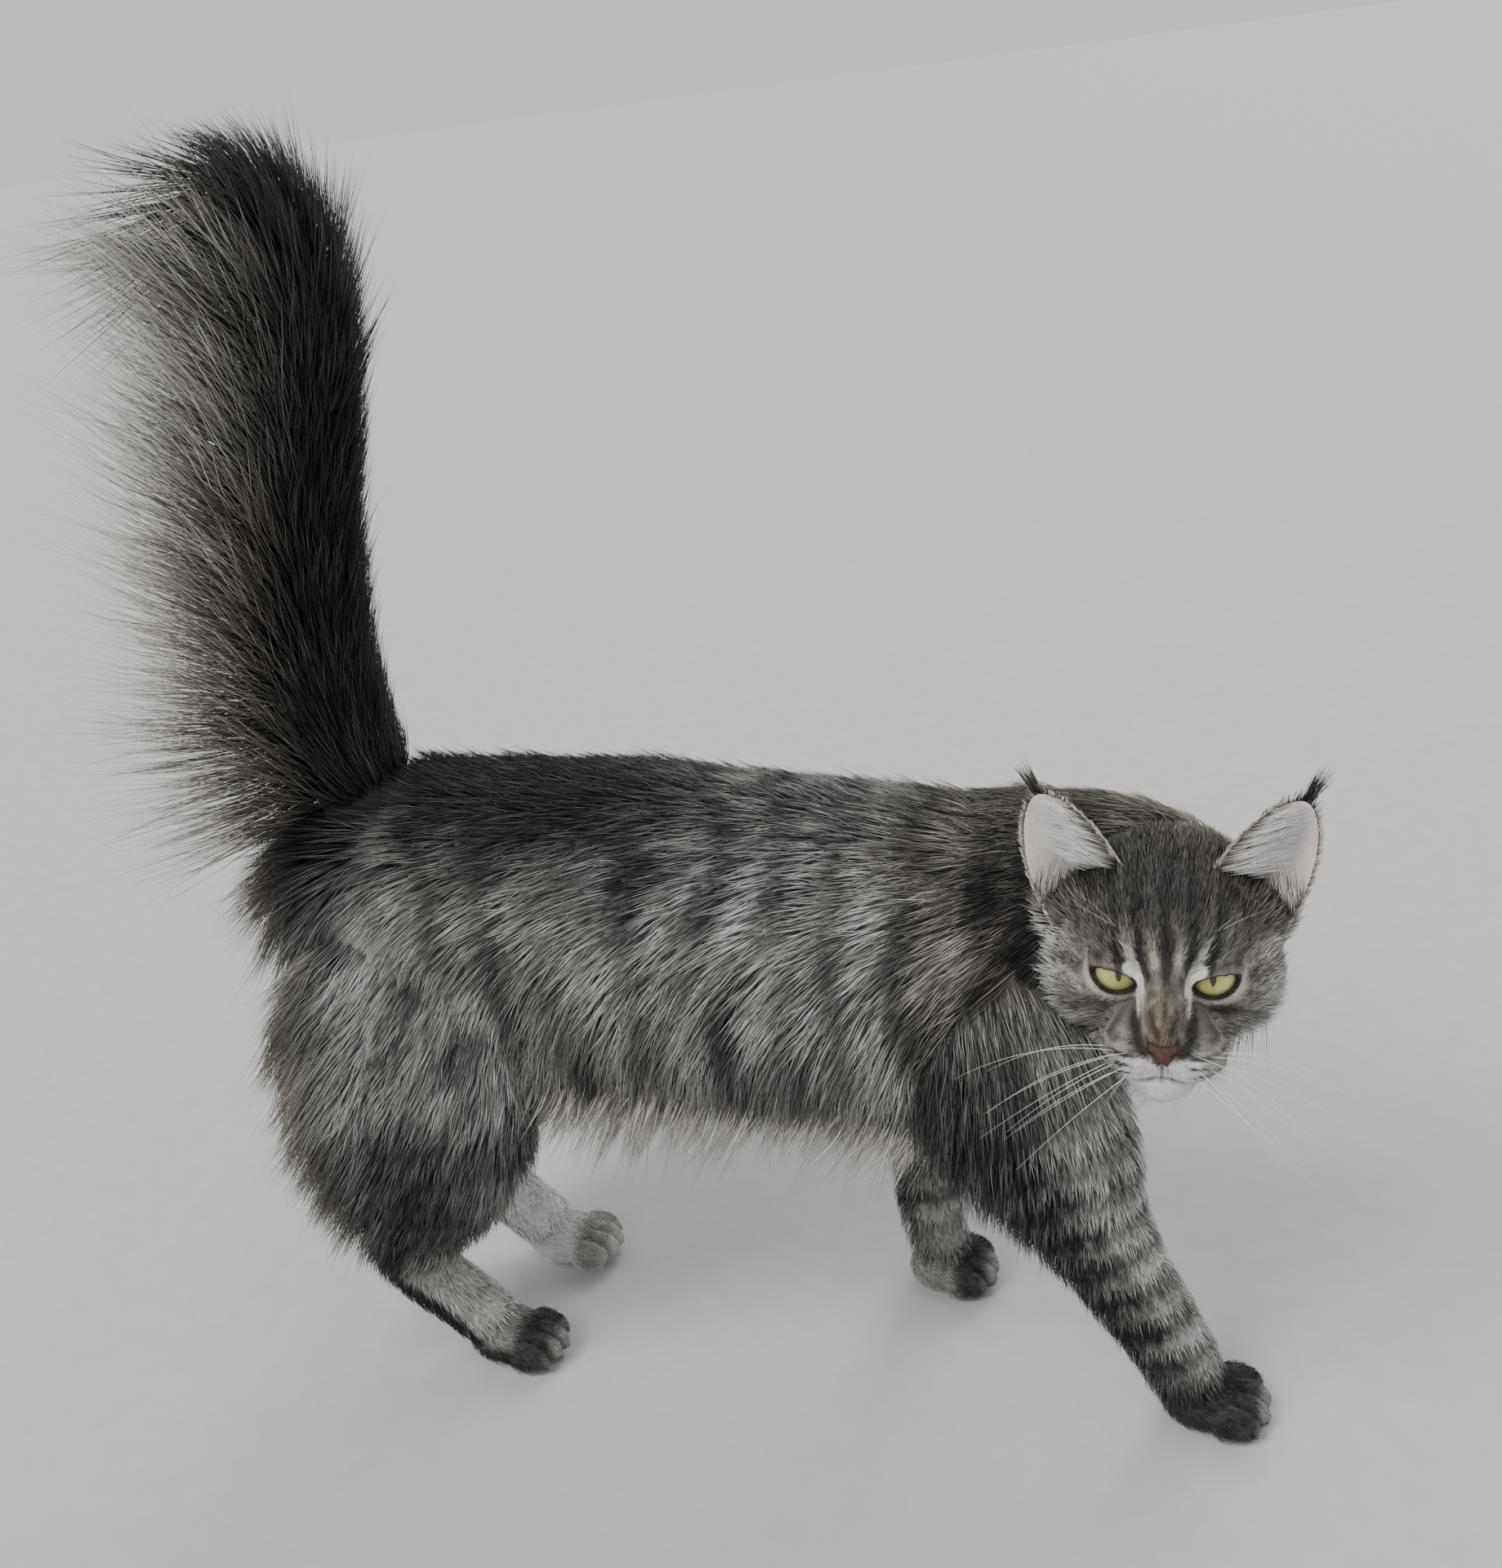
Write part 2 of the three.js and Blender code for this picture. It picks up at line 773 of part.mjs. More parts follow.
// The long hair behind the upper foreleg
function elbowCoat(loft) {
  const rows = [0.22, 0.46].map((t, r) => ({
    t,
    count: 3,
    from: rad(-140),
    to: rad(-40),
    spec: (place) =>
      lockOn(place, V(-0.5, 0, -1), {
        length: vary(54 - 12 * r, 0.08),
        lift: rad(20),
        droop: 3,
        width: 32 - 5 * r,
        thick: 5.5,
      }),
  }));
  return coat(loft, rows);
}

// Each node: its solid with and without the gap grown round it, and its finish
const COLOURS = {
  coat: 0x6d665e,
  dark: 0x3a3532,
  pale: 0xa8a29a,
  eye: 0xb9b25a,
  ear: 0xb8a8a2,
};
const withLocks = (core, specs) => (grow) => {
  const pieces = [core(grow), ...specs.map((spec) => lockSolid(spec, grow))];
  return unite(pieces);
};

const TAIL_NODES = [
  ["tail_base", 0, 0.34],
  ["tail_middle", 0.34, 0.68],
  ["tail_tip", 0.68, 1],
];

const fleshOf = (loft, steps, sides) => (grow) => loft.solid(steps, sides, grow);
const pawOf = (x, y, yaw, width, length) => (grow) => paw(V(x, y, 0), rad(yaw), width, length, grow);
const recipes = [
  ["eye_right", COLOURS.eye, (grow) => eyeball(1, grow)],
  ["eye_left", COLOURS.eye, (grow) => eyeball(-1, grow)],
  ["head", COLOURS.coat, head],
  ["ear_right", COLOURS.ear, withLocks((grow) => ear(1, grow), earTufts(1))],
  ["ear_left", COLOURS.ear, withLocks((grow) => ear(-1, grow), earTufts(-1))],
  ["neck", COLOURS.coat, withLocks(fleshOf(neck, 5, 12), neckCoat())],
  ["torso", COLOURS.coat, withLocks(fleshOf(trunk, 9, 14), [...trunkCoat(), ...rumpCoat()])],
  ["thigh_right", COLOURS.coat, withLocks(fleshOf(thighRight, 5, 10), thighCoat(thighRight))],
  ["thigh_left", COLOURS.coat, withLocks(fleshOf(thighLeft, 5, 10), thighCoat(thighLeft))],
  ["foreleg_right", COLOURS.coat, withLocks(fleshOf(foreRight, 7, 9), elbowCoat(foreRight))],
  ["foreleg_left", COLOURS.coat, withLocks(fleshOf(foreLeft, 7, 9), elbowCoat(foreLeft))],
  ["shank_right", COLOURS.coat, fleshOf(shankRight, 6, 10)],
  ["shank_left", COLOURS.coat, fleshOf(shankLeft, 6, 10)],
  ["forepaw_right", COLOURS.dark, pawOf(189, -32, -4, 42, 50)],
  ["forepaw_left", COLOURS.dark, pawOf(45, 53, -3, 40, 47)],
  ["hindpaw_right", COLOURS.dark, pawOf(-197, -33, -4, 38, 54)],
  ["hindpaw_left", COLOURS.dark, pawOf(-193, 50, 2, 38, 54)],
  ...TAIL_NODES.map(([name, from, to]) => [
    name,
    COLOURS.dark,
    withLocks((grow) => tail.solid(5, 8, grow, from, to), tailCoat(from, to)),
  ]),
];

const group = new THREE.Group();
group.name = "maine_coon";
const claimed = [];
for (const [name, colour, make] of recipes) {
  let solid = make(0);
  for (const other of claimed) solid = solid.subtract(other);
  solid = solid.simplify(0.08);
  const bodies = solid.decompose().sort((a, b) => b.volume() - a.volume());
  solid = bodies[0];
  claimed.push(make(GAP));
  const { vertProperties, triVerts, numProp } = solid.getMesh();
  const geometry = new THREE.BufferGeometry();
  const count = vertProperties.length / numProp;
  const positions = new Float32Array(count * 3);
  for (let i = 0; i < count; i++) {
    positions.set(vertProperties.subarray(i * numProp, i * numProp + 3), i * 3);
  }
  geometry.setAttribute("position", new THREE.BufferAttribute(positions, 3));
  geometry.setIndex(new THREE.BufferAttribute(new Uint32Array(triVerts), 1));
  geometry.computeVertexNormals();
  const material = new THREE.MeshStandardMaterial({ color: colour, roughness: 0.9, metalness: 0 });
  const mesh = new THREE.Mesh(geometry, material);
  mesh.name = name;
  group.add(mesh);
}

// The origin lies on the floor, under the middle of the cat's box
const box = new THREE.Box3().setFromObject(group);
group.position.set(-(box.min.x + box.max.x) / 2, -(box.min.y + box.max.y) / 2, -box.min.z);

export default group;
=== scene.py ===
# Looks of the walking Maine Coon cat: skin, eyes, ears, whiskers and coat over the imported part.
# Body sizes are millimetres in the cat's own frame, as in the part's source, and CAT_TO_FRAME
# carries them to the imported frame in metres. +X is forwards, +Y the cat's left, +Z up.
import math

import bpy
import numpy as np
from mathutils import Matrix, Vector


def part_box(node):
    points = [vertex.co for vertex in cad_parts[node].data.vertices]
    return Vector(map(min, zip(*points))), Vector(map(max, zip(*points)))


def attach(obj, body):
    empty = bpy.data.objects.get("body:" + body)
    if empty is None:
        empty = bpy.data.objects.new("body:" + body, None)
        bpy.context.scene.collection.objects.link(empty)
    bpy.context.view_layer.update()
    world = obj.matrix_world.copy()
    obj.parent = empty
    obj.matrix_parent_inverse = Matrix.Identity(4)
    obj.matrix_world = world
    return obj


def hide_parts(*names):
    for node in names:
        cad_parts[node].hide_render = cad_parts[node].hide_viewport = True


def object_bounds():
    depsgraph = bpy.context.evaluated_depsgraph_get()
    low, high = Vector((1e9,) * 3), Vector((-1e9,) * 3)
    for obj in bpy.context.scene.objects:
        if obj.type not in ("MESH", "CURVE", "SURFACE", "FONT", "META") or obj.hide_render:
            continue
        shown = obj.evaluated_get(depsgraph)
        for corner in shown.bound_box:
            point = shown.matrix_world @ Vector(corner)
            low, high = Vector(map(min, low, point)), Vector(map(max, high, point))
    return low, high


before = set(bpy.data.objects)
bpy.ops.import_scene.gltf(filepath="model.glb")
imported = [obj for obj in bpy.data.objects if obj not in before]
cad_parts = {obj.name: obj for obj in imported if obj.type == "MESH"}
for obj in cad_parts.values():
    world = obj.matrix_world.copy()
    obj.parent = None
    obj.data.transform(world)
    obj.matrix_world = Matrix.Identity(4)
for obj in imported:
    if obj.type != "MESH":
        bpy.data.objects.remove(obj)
cad_low, cad_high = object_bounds()
rng = np.random.default_rng(11)
QUICK_SHARE = 1.0

# Driving sizes

BACK_HEIGHT = 350
TRUNK_LENGTH = 398
TRUNK_REAR = -234
TRUNK_HALF_WIDTH = 70
HEAD_CENTRE = np.array([193.0, -43.0, 286.0])
HEAD_YAW = 181
HEAD_ROLL = -2.8
HEAD_BLEND = 7
EYE_RADIUS = 11
EYE_SPACING = 38
EYE_Y = 34
EYE_Z = 5
LID_WIDTH = 19
LID_HEIGHT = 11.5
LID_SLANT = math.radians(9)
LID_THICK = 2.0
EAR_HEIGHT = 40
SKIN_INSET = 1.0
BODY_VOXEL = 0.0034
TUFT_PATCH = 0.003
BAND_X = 140
PUPIL_HALF_WIDTH = 0.0014
PUPIL_HALF_HEIGHT = 0.0042
PUPIL_LIFT = 0.001
TURN = 2 * math.pi
HAIRS = {
    "trunk": 36400, "rump": 3600, "belly": 26000, "neck": 12500, "tail": 17000, "head": 31000, "paw": 2800,
    "thigh_right": 10500, "thigh_left": 7500, "fore_right": 9500, "fore_left": 5500,
    "shank_right": 4000, "shank_left": 3500,
}


def fewer(count):
    return int(count * QUICK_SHARE)


def unit(v):
    return v / np.maximum(np.linalg.norm(v, axis=-1, keepdims=True), 1e-9)


def rotation(axis, degrees):
    """Turn about the z or y axis."""
    a = math.radians(degrees)
    c, s = math.cos(a), math.sin(a)
    if axis == "z":
        return np.array([[c, -s, 0], [s, c, 0], [0, 0, 1.0]])
    return np.array([[c, 0, s], [0, 1.0, 0], [-s, 0, c]])


HEAD_TURN = rotation("z", HEAD_YAW) @ rotation("y", HEAD_ROLL)


def head_to_cat(p):
    return p @ HEAD_TURN.T + HEAD_CENTRE


def cat_to_head(p):
    return (p - HEAD_CENTRE) @ HEAD_TURN


EYES = {side: np.array([side * EYE_SPACING / 2, EYE_Y, EYE_Z], float) for side in (1, -1)}
eye_low, eye_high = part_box("eye_right")
CAT_TO_FRAME = np.array((eye_low + eye_high) / 2) * 1000 - head_to_cat(EYES[1])


def to_frame(p):
    return (p + CAT_TO_FRAME) / 1000


def smooth(low, high, x):
    t = np.clip((x - low) / (high - low), 0, 1)
    return t * t * (3 - 2 * t)


def bell(x, width):
    return np.exp(-((x / width) ** 2))


def over(tone, amount, value):
    """Paint value over tone."""
    return tone * (1 - amount) + value * amount


def ripple(turns):
    """A wave from 0 to 1, once a turn."""
    return 0.5 + 0.5 * np.sin(TURN * turns)


def stacked(*values):
    """Rows from one array or number for each axis."""
    return np.stack(np.broadcast_arrays(*values), 1)


def chart(angle, share):
    """Place on the unwrap of a part, from the angle round it and the share along it."""
    return stacked(angle / TURN, share)




def lattice(cells, seed):
    i = cells.astype(np.int64)
    h = i[:, 0] * 374761393 + i[:, 1] * 668265263 + i[:, 2] * 2147483647 + seed * 1274126177
    h = (h ^ (h >> 13)) * 1274126177
    h = h ^ (h >> 16)
    return (h & 0xFFFF) / 65535.0


def noise(p, size, seed):
    """Smooth value noise from 0 to 1, with cells of the given size."""
    q = p / size
    base = np.floor(q)
    f = q - base
    f = f * f * (3 - 2 * f)
    total = np.zeros(len(p))
    for corner in np.ndindex(2, 2, 2):
        wx, wy, wz = (f[:, k] if there else 1 - f[:, k] for k, there in enumerate(corner))
        total += wx * wy * wz * lattice(base + corner, seed)
    return total


def jitter(p, size, seed):
    """Noise about 0, half a unit either way."""
    return noise(p, size, seed) - 0.5


def ruffle(p, size, seed):
    """A small direction that wanders over the coat."""
    return np.stack([jitter(p, size, seed + k) for k in range(3)], 1)


# Lofts


class Loft:
    """A body part through stations of x, y, z, half width and half depth."""

    def __init__(self, stations, up, slim=0.0):
        self.stations = np.array(stations, float)
        self.up = np.array(up, float)
        self.slim = slim

    def split(self, t):
        k = np.clip(t, 0, 1) * (len(self.stations) - 1)
        i = np.minimum(k.astype(int), len(self.stations) - 2)
        return i, k - i

    def centre(self, t):
        i, f = self.split(t)
        s = self.stations[:, :3]
        ends = np.vstack([2 * s[0] - s[1], s, 2 * s[-1] - s[-2]])
        a, b, c, d = (ends[i + k] for k in range(4))
        f = f[:, None]
        return 0.5 * (
            2 * b + (c - a) * f + (2 * a - 5 * b + 4 * c - d) * f**2 + (3 * b - a - 3 * c + d) * f**3
        )

    def size(self, t):
        i, f = self.split(t)
        ease = (f * f * (3 - 2 * f) * 0.35 + f * 0.65)[:, None]
        return self.stations[i, 3:] * (1 - ease) + self.stations[i + 1, 3:] * ease

    def frame(self, t):
        step = 0.004
        ahead, behind = np.minimum(t + step, 1), np.maximum(t - step, 0)
        along = unit(self.centre(ahead) - self.centre(behind))
        across = unit(np.cross(self.up, along))
        return self.centre(t), along, across, unit(np.cross(along, across))

    def at(self, t, angle, grow=0.0):
        """Point, outward normal and the way along, at t along and angle round."""
        centre, along, across, upward = self.frame(t)
        w, h = self.size(t).T
        c, s = np.cos(angle), np.sin(angle)
        wide = ((w + grow) * (1 - self.slim * s) * c)[:, None]
        point = centre + across * wide + upward * ((h + grow) * s)[:, None]
        normal = unit(across * (c / w)[:, None] + upward * (s / h)[:, None])
        return point, normal, along

    def depth(self, p, samples=36):
        """How deep points lie inside, as a share: below 1 is inside."""
        t = np.linspace(0, 1, samples)
        centre, along, across, upward = self.frame(t)
        w, h = self.size(t).T
        least = np.full(len(p), 9.0)
        for k in range(samples):
            d = p - centre[k]
            share = np.sqrt(
                (d @ across[k] / w[k]) ** 2
                + (d @ upward[k] / h[k]) ** 2
                + (d @ along[k] / min(w[k], h[k])) ** 2
            )
            least = np.minimum(least, share)
        return least

    def girth(self, t):
        w, h = self.size(t).T
        return w + h

    def shell(self, steps, sides, grow):
        """Points and faces of the closed loft."""
        t = np.repeat(np.linspace(0, 1, steps + 1), sides)
        angle = np.tile(np.linspace(0, TURN, sides, endpoint=False), steps + 1)
        points = self.at(t, angle, grow)[0]
        ends = np.array([0.0, 1.0])
        centre, along = self.frame(ends)[:2]
        reach = 0.35 * self.size(ends)[:, 1] + grow
        caps = centre + along * (reach * (-1, 1))[:, None]
        return np.vstack([points, caps]), capped_faces(steps + 1, sides)


def capped_faces(rows, columns):
    """Triangles of closed rings of points, with the two points that follow them as their ends."""
    r, c = np.meshgrid(np.arange(rows - 1), np.arange(columns), indexing="ij")
    a = (r * columns + c).ravel()
    b = (r * columns + (c + 1) % columns).ravel()
    side = np.arange(columns)
    after = (side + 1) % columns
    first, tail = rows * columns, (rows - 1) * columns
    return np.vstack([
        stacked(a, b, b + columns),
        stacked(a, b + columns, a + columns),
        stacked(first, after, side),
        stacked(first + 1, tail + side, tail + after),
    ])


def trunk_x(share):
    return TRUNK_REAR + share * TRUNK_LENGTH


TRUNK = Loft([
    (trunk_x(0), 0, 300, 22, 30), (trunk_x(0.05), 0, 294, 50, 54),
    (trunk_x(0.13), 0, BACK_HEIGHT - 71, 64, 71), (trunk_x(0.27), 0, BACK_HEIGHT - 79, 66, 79),
    (trunk_x(0.43), 0, 268, TRUNK_HALF_WIDTH, 80), (trunk_x(0.6), 0, 261, TRUNK_HALF_WIDTH + 2, 78),
    (trunk_x(0.76), 0, 256, TRUNK_HALF_WIDTH, 76), (trunk_x(0.88), 0, 252, 62, 74),
    (trunk_x(0.96), 0, 246, 46, 60), (trunk_x(1), 0, 240, 22, 34),
], (0, 0, 1), slim=0.12)
NECK = Loft([
    (96, 0, 266, 56, 62), (132, 2, 274, 54, 58), (166, -6, 281, 49, 51), (190, -24, 285, 43, 45),
    (197, -44, 285, 36, 38),
], (0, 0, 1))
FORE_RIGHT = Loft([
    (104, -36, 258, 27, 42), (122, -44, 220, 31, 42), (140, -48, 178, 27, 37),
    (153, -45, 134, 21, 28), (171, -40, 90, 18, 22.5), (190, -36, 50, 17, 19.5),
    (200, -34, 24, 17.5, 17),
], (1, 0, 0))
FORE_LEFT = Loft([
    (96, 38, 256, 26, 40), (92, 45, 216, 28, 38), (78, 48, 172, 24, 31), (64, 50, 126, 19, 23),
    (58, 52, 84, 16.5, 18.5), (57, 53, 48, 16, 16.5), (61, 53, 24, 16.5, 15.5),
], (1, 0, 0))
THIGH_RIGHT = Loft([
    (-176, -34, 280, 32, 52), (-180, -46, 236, 37, 62), (-182, -53, 190, 34, 58),
    (-190, -53, 148, 27, 44), (-204, -50, 110, 20, 29),
], (1, 0, 0))
THIGH_LEFT = Loft([
    (-172, 34, 280, 32, 52), (-172, 45, 236, 37, 62), (-178, 52, 190, 33, 56),
    (-192, 51, 148, 26, 42), (-210, 47, 112, 20, 28),
], (1, 0, 0))
SHANK_RIGHT = Loft([
    (-206, -48, 108, 19.5, 27), (-220, -44, 82, 17, 22), (-216, -39, 58, 15.5, 19),
    (-201, -35, 38, 16, 17.5), (-186, -34, 22, 16, 15.5),
], (1, 0, 0))
SHANK_LEFT = Loft([
    (-212, 47, 110, 19.5, 26), (-226, 48, 86, 17, 21), (-217, 49, 60, 15.5, 18.5),
    (-199, 50, 38, 16, 17), (-182, 50, 22, 16, 15.5),
], (1, 0, 0))
TAIL = Loft([
    (-200, 0, 322, 25, 28), (-213, 0, 362, 22, 23), (-213, 0, 412, 18, 18), (-205, 0, 464, 16, 16),
    (-192, 0, 516, 15, 15), (-180, 0, 564, 14, 14), (-177, 0, 604, 13, 13), (-188, 0, 632, 11, 11),
    (-206, 0, 642, 8, 8),
], (1, 0, 0))
LOFTS = {
    "trunk": TRUNK, "neck": NECK, "fore_right": FORE_RIGHT, "fore_left": FORE_LEFT,
    "thigh_right": THIGH_RIGHT, "thigh_left": THIGH_LEFT,
    "shank_right": SHANK_RIGHT, "shank_left": SHANK_LEFT, "tail": TAIL,
}

# Blobs: head and paws


def ellipsoid_distance(p, centre, radii):
    q = p - centre
    k0 = np.linalg.norm(q / radii, axis=1)
    k1 = np.linalg.norm(q / radii**2, axis=1)
    return k0 * (k0 - 1) / np.maximum(k1, 1e-9)


def blend(a, b, width):
    """Smooth union of two distances."""
    h = np.maximum(width - np.abs(a - b), 0) / width
    return np.minimum(a, b) - h * h * width * 0.25


def blob_distance(p, masses, width):
    d = None
    for m in masses:
        e = ellipsoid_distance(p, np.array(m[:3], float), np.array(m[3:], float))
        d = e if d is None else blend(d, e, width)
    return d


def march(distance, origin, ways, far):
    """First surface point met on each way in from outside."""
    reach = np.full(len(ways), float(far))
    for _ in range(90):
        reach -= distance(origin + ways * reach[:, None]) * 0.75
        reach = np.maximum(reach, 2)
    return origin + ways * reach[:, None]


HEAD_MASSES = [
    (0, -8, 5, 45, 46, 41), (0, 20, 17, 32, 27, 22), (0, 42, 1, 11, 28, 12), (0, 42, -22, 21, 26, 18),
    (0, 24, -30, 27, 32, 17), (0, 55, -35, 12, 13, 9), (0, 65, -10, 7.5, 8.5, 7.5),
]
PAIRED_MASSES = [
    (26, 6, -12, 22.5, 27, 22.5), (11.5, 56, -20, 14.5, 15, 12.5), (20, 31, 17, 13, 10, 6),
    (25, 27, -6, 14, 14, 10), (40, 0, 14, 13, 13, 13),
]
for x, *rest in PAIRED_MASSES:
    HEAD_MASSES += [(x, *rest), (-x, *rest)]
FACE_AXIS = unit(np.array([0.0, 70, -16]))
NOSE_TIP = np.array([0.0, 74, -12])


def eye_plane(p, side):
    """A point's place over one eye: along the lids, up, and how far in front of the eye's middle."""
    outward = unit(np.array([side * 0.22, 1, -0.03]))
    across = unit(np.cross(outward, (0, 0, 1)))
    upward = np.cross(across, outward)
    d = p - EYES[side]
    x, z = d @ across, d @ upward
    c, s = math.cos(LID_SLANT * side), math.sin(LID_SLANT * side)
    return x * c + z * s, -x * s + z * c, d @ outward


def lid_share(p, side):
    """1 on the rim of the opening between the lids, less inside it, and how far it lies in front."""
    x, z, front = eye_plane(p, side)
    high = np.where(z > 0, 0.4, 0.58) * LID_HEIGHT
    power = 1.75
    share = (np.abs(x / (LID_WIDTH / 2)) ** power + np.abs(z / high) ** power) ** (1 / power)
    return share, front


LIP_LINE = [(3, -27.5), (12, -31), (22, -26.5)]


def segment_distance(p, a, b):
    a, b = np.array(a, float), np.array(b, float)
    ab = b - a
    t = np.clip(((p - a) @ ab) / (ab @ ab), 0, 1)
    return np.linalg.norm(p - a - t[:, None] * ab, axis=1)


def line_distance(p, points):
    return np.minimum.reduce([segment_distance(p, a, b) for a, b in zip(points, points[1:])])


def mouth_distance(p):
    """Distance to the mouth line, seen from the front."""
    flat = p[:, [0, 2]]
    mirrored = stacked(np.abs(flat[:, 0]), flat[:, 1])
    lips = line_distance(mirrored, [(0, -28), *LIP_LINE])
    cleft = segment_distance(mirrored, (0, -18), (0, -28))
    return np.where(p[:, 1] > 25, np.minimum(lips, cleft + 0.4), 50)


def nostril_distance(p):
    q = stacked(np.abs(p[:, 0]) - 3.9, (p[:, 1] - 73) * 0.35, (p[:, 2] + 13.4) * 1.25)
    return np.linalg.norm(q, axis=1)


def head_distance(p):
    d = blob_distance(p, HEAD_MASSES, HEAD_BLEND)
    leather = ellipsoid_distance(p, np.array([0, 69.0, -12.6]), np.array([6.2, 5.4, 5.4]))
    d = blend(d, leather, 2)
    for side in (1, -1):
        lids = np.linalg.norm(p - EYES[side], axis=1) - EYE_RADIUS - LID_THICK
        d = blend(d, lids, 3)
    d = d + 2.0 * bell(mouth_distance(p), 1.5) + 2.2 * bell(nostril_distance(p), 1.7)
    for side in (1, -1):
        share, front = lid_share(p, side)
        cut = np.where(front > 2, (1 - share) * 5, -9)
        d = np.maximum(d, np.minimum(cut, EYE_RADIUS + 1.0 - np.linalg.norm(p - EYES[side], axis=1) + 9))
        crease = bell(share - 1.75, 0.13) * (eye_plane(p, side)[1] > 0)
        d = d + 0.7 * crease * (front > 0)
    return d


def head_ways(polar, turn):
    right = np.array([1.0, 0, 0])
    up = np.cross(right, FACE_AXIS)
    return (
        np.cos(polar)[:, None] * FACE_AXIS
        + (np.sin(polar) * np.cos(turn))[:, None] * right
        + (np.sin(polar) * np.sin(turn))[:, None] * up
    )


def polar_rows(rows, columns, squeeze=1.0):
    """Angles from the pole and round it, for rows of rays and then the two poles."""
    polar = np.repeat(math.pi * (np.arange(1, rows) / rows) ** squeeze, columns)
    turn = np.tile(np.linspace(0, TURN, columns, endpoint=False), rows - 1)
    return np.append(polar, [0, math.pi]), np.append(turn, [0, 0])


def radial_shell(distance, origin, ways_of, rows, columns, far, squeeze=1.0):
    """Points and faces of a surface that every ray from the origin meets once."""
    ways = ways_of(*polar_rows(rows, columns, squeeze))
    return march(distance, origin, ways, far), capped_faces(rows - 1, columns)


def surface_normal(distance, p, step=0.35):
    g = [distance(p + step * e) - distance(p - step * e) for e in np.eye(3)]
    return unit(np.stack(g, 1))


class Paw:
    """Ellipsoids for the pad and four toes, standing on the floor."""

    def __init__(self, x, y, yaw, width, length):
        self.base = np.array([x, y, 0.0])
        self.turn = rotation("z", yaw)
        self.length = length
        self.masses = [(length * 0.34, 0, 12, length * 0.42, width / 2 - 2, 14.5)]
        for k in (-1.5, -0.5, 0.5, 1.5):
            x_toe = length - 13 - 2.2 * k * k
            self.masses.append((x_toe, k * width * 0.245, 9.5, 13, width * 0.125, 11))
        self.origin = np.array([length * 0.45, 0, 8.0])

    def distance(self, p):
        return blob_distance(p, self.masses, 1.4)

    def ways(self, polar, turn):
        s = np.sin(polar)
        return stacked(s * np.cos(turn), s * np.sin(turn), np.cos(polar))

    def to_cat(self, p):
        out = p @ self.turn.T + self.base
        out[:, 2] = np.maximum(out[:, 2], 0.15)
        return out

    def local(self, p):
        return (p - self.base) @ self.turn


PAWS = {
    "fore_right": Paw(189, -32, -4, 42, 50),
    "fore_left": Paw(45, 53, -3, 40, 47),
    "hind_right": Paw(-197, -33, -4, 38, 54),
    "hind_left": Paw(-193, 50, 2, 38, 54),
}

# Markings. Each function returns tone, 0 black to 1 white, and warmth, 0 grey to 1 tan,
# from a place on the cat.


def trunk_marks(p):
    x, z = p[:, 0], p[:, 2]
    height = (z - 265) / 82
    mottle = jitter(p * (1, 1, 0.5), 13, 3)
    fleck = jitter(p * (1, 1, 0.6), 6.5, 2)
    tone = 0.68 + 0.42 * mottle + 0.3 * fleck + 0.14 * jitter(p, 45, 4)
    wave = x / 33 + 0.9 * noise(p * (0.4, 1, 0.5), 34, 5)
    bars = smooth(0.35, 0.9, ripple(wave))
    broken = smooth(0.2, 0.6, noise(p, 26, 6))
    tone -= 0.3 * bars * broken
    tone -= 0.16 * bell(height + 0.65, 0.4) + 0.2 * smooth(50, 125, x)
    tone += 0.22 * smooth(-0.8, -1.05, height)
    dark = smooth(0.52, 0.95, height + 0.3 * mottle) * (0.55 + 0.45 * smooth(20, -80, x))
    dark = np.maximum(dark, smooth(-150, -225, x) * smooth(0.1, 0.7, height))
    tone = over(tone, dark, 0.13)
    warmth = -0.03 + 0.2 * noise(p, 40, 7) + 0.22 * smooth(60, 125, x) * (1 - dark)
    return tone, warmth


def neck_marks(p):
    tone, warmth = trunk_marks(p)
    side = smooth(-5, -35, p[:, 1])
    band = bell(p[:, 0] - BAND_X - 0.12 * (p[:, 2] - 290), 9) * side * smooth(205, 245, p[:, 2])
    ruff = smooth(BAND_X + 5, BAND_X + 12, p[:, 0]) * smooth(335, 310, p[:, 2])
    tone = over(tone, ruff, 0.66 + 0.3 * jitter(p, 6, 8))
    top = smooth(312, 338, p[:, 2])
    tone = over(tone, top, 0.3 + 0.2 * jitter(p, 9, 9))
    tone = over(tone, band, 0.05)
    return tone, warmth + 0.1 * ruff


def centre_x(loft, z):
    """The middle of an upright loft at each height."""
    order = np.argsort(loft.stations[:, 2])
    return np.interp(z, loft.stations[order, 2], loft.stations[order, 0])


def fore_marks(p, loft):
    z = p[:, 2]
    near = loft is FORE_RIGHT
    place = p[:, 0] - centre_x(loft, z)
    mottle = jitter(p, 9, 12)
    wave = z / 23 - 0.01 * place + 0.35 * noise(p, 40, 13)
    bars = smooth(0.42, 0.72, ripple(wave))
    upper = smooth(195, 225, z)
    front = smooth(2, 15, place)
    tone = 0.53 + 0.24 * mottle + 0.26 * front
    tone -= (0.46 - 0.14 * front) * bars * (1 - upper) * smooth(38, 55, z)
    tone = over(tone, upper, 0.36 + 0.3 * mottle + 0.2 * smooth(10, 24, place))
    tone -= 0.2 * smooth(2, -14, place) * (1 - 0.6 * upper)
    middle = loft.stations[3, 1]
    inner = smooth(3, 13, p[:, 1] - middle) if near else smooth(-3, -13, p[:, 1] - middle)
    pale = (0.8 if near else 0.45) * inner
    tone = over(tone, pale, 0.68)
    low = smooth(48, 26, z)
    tone = over(tone, low, 0.22 if near else 0.5)
    return tone, 0.02 + 0.15 * noise(p, 30, 14)


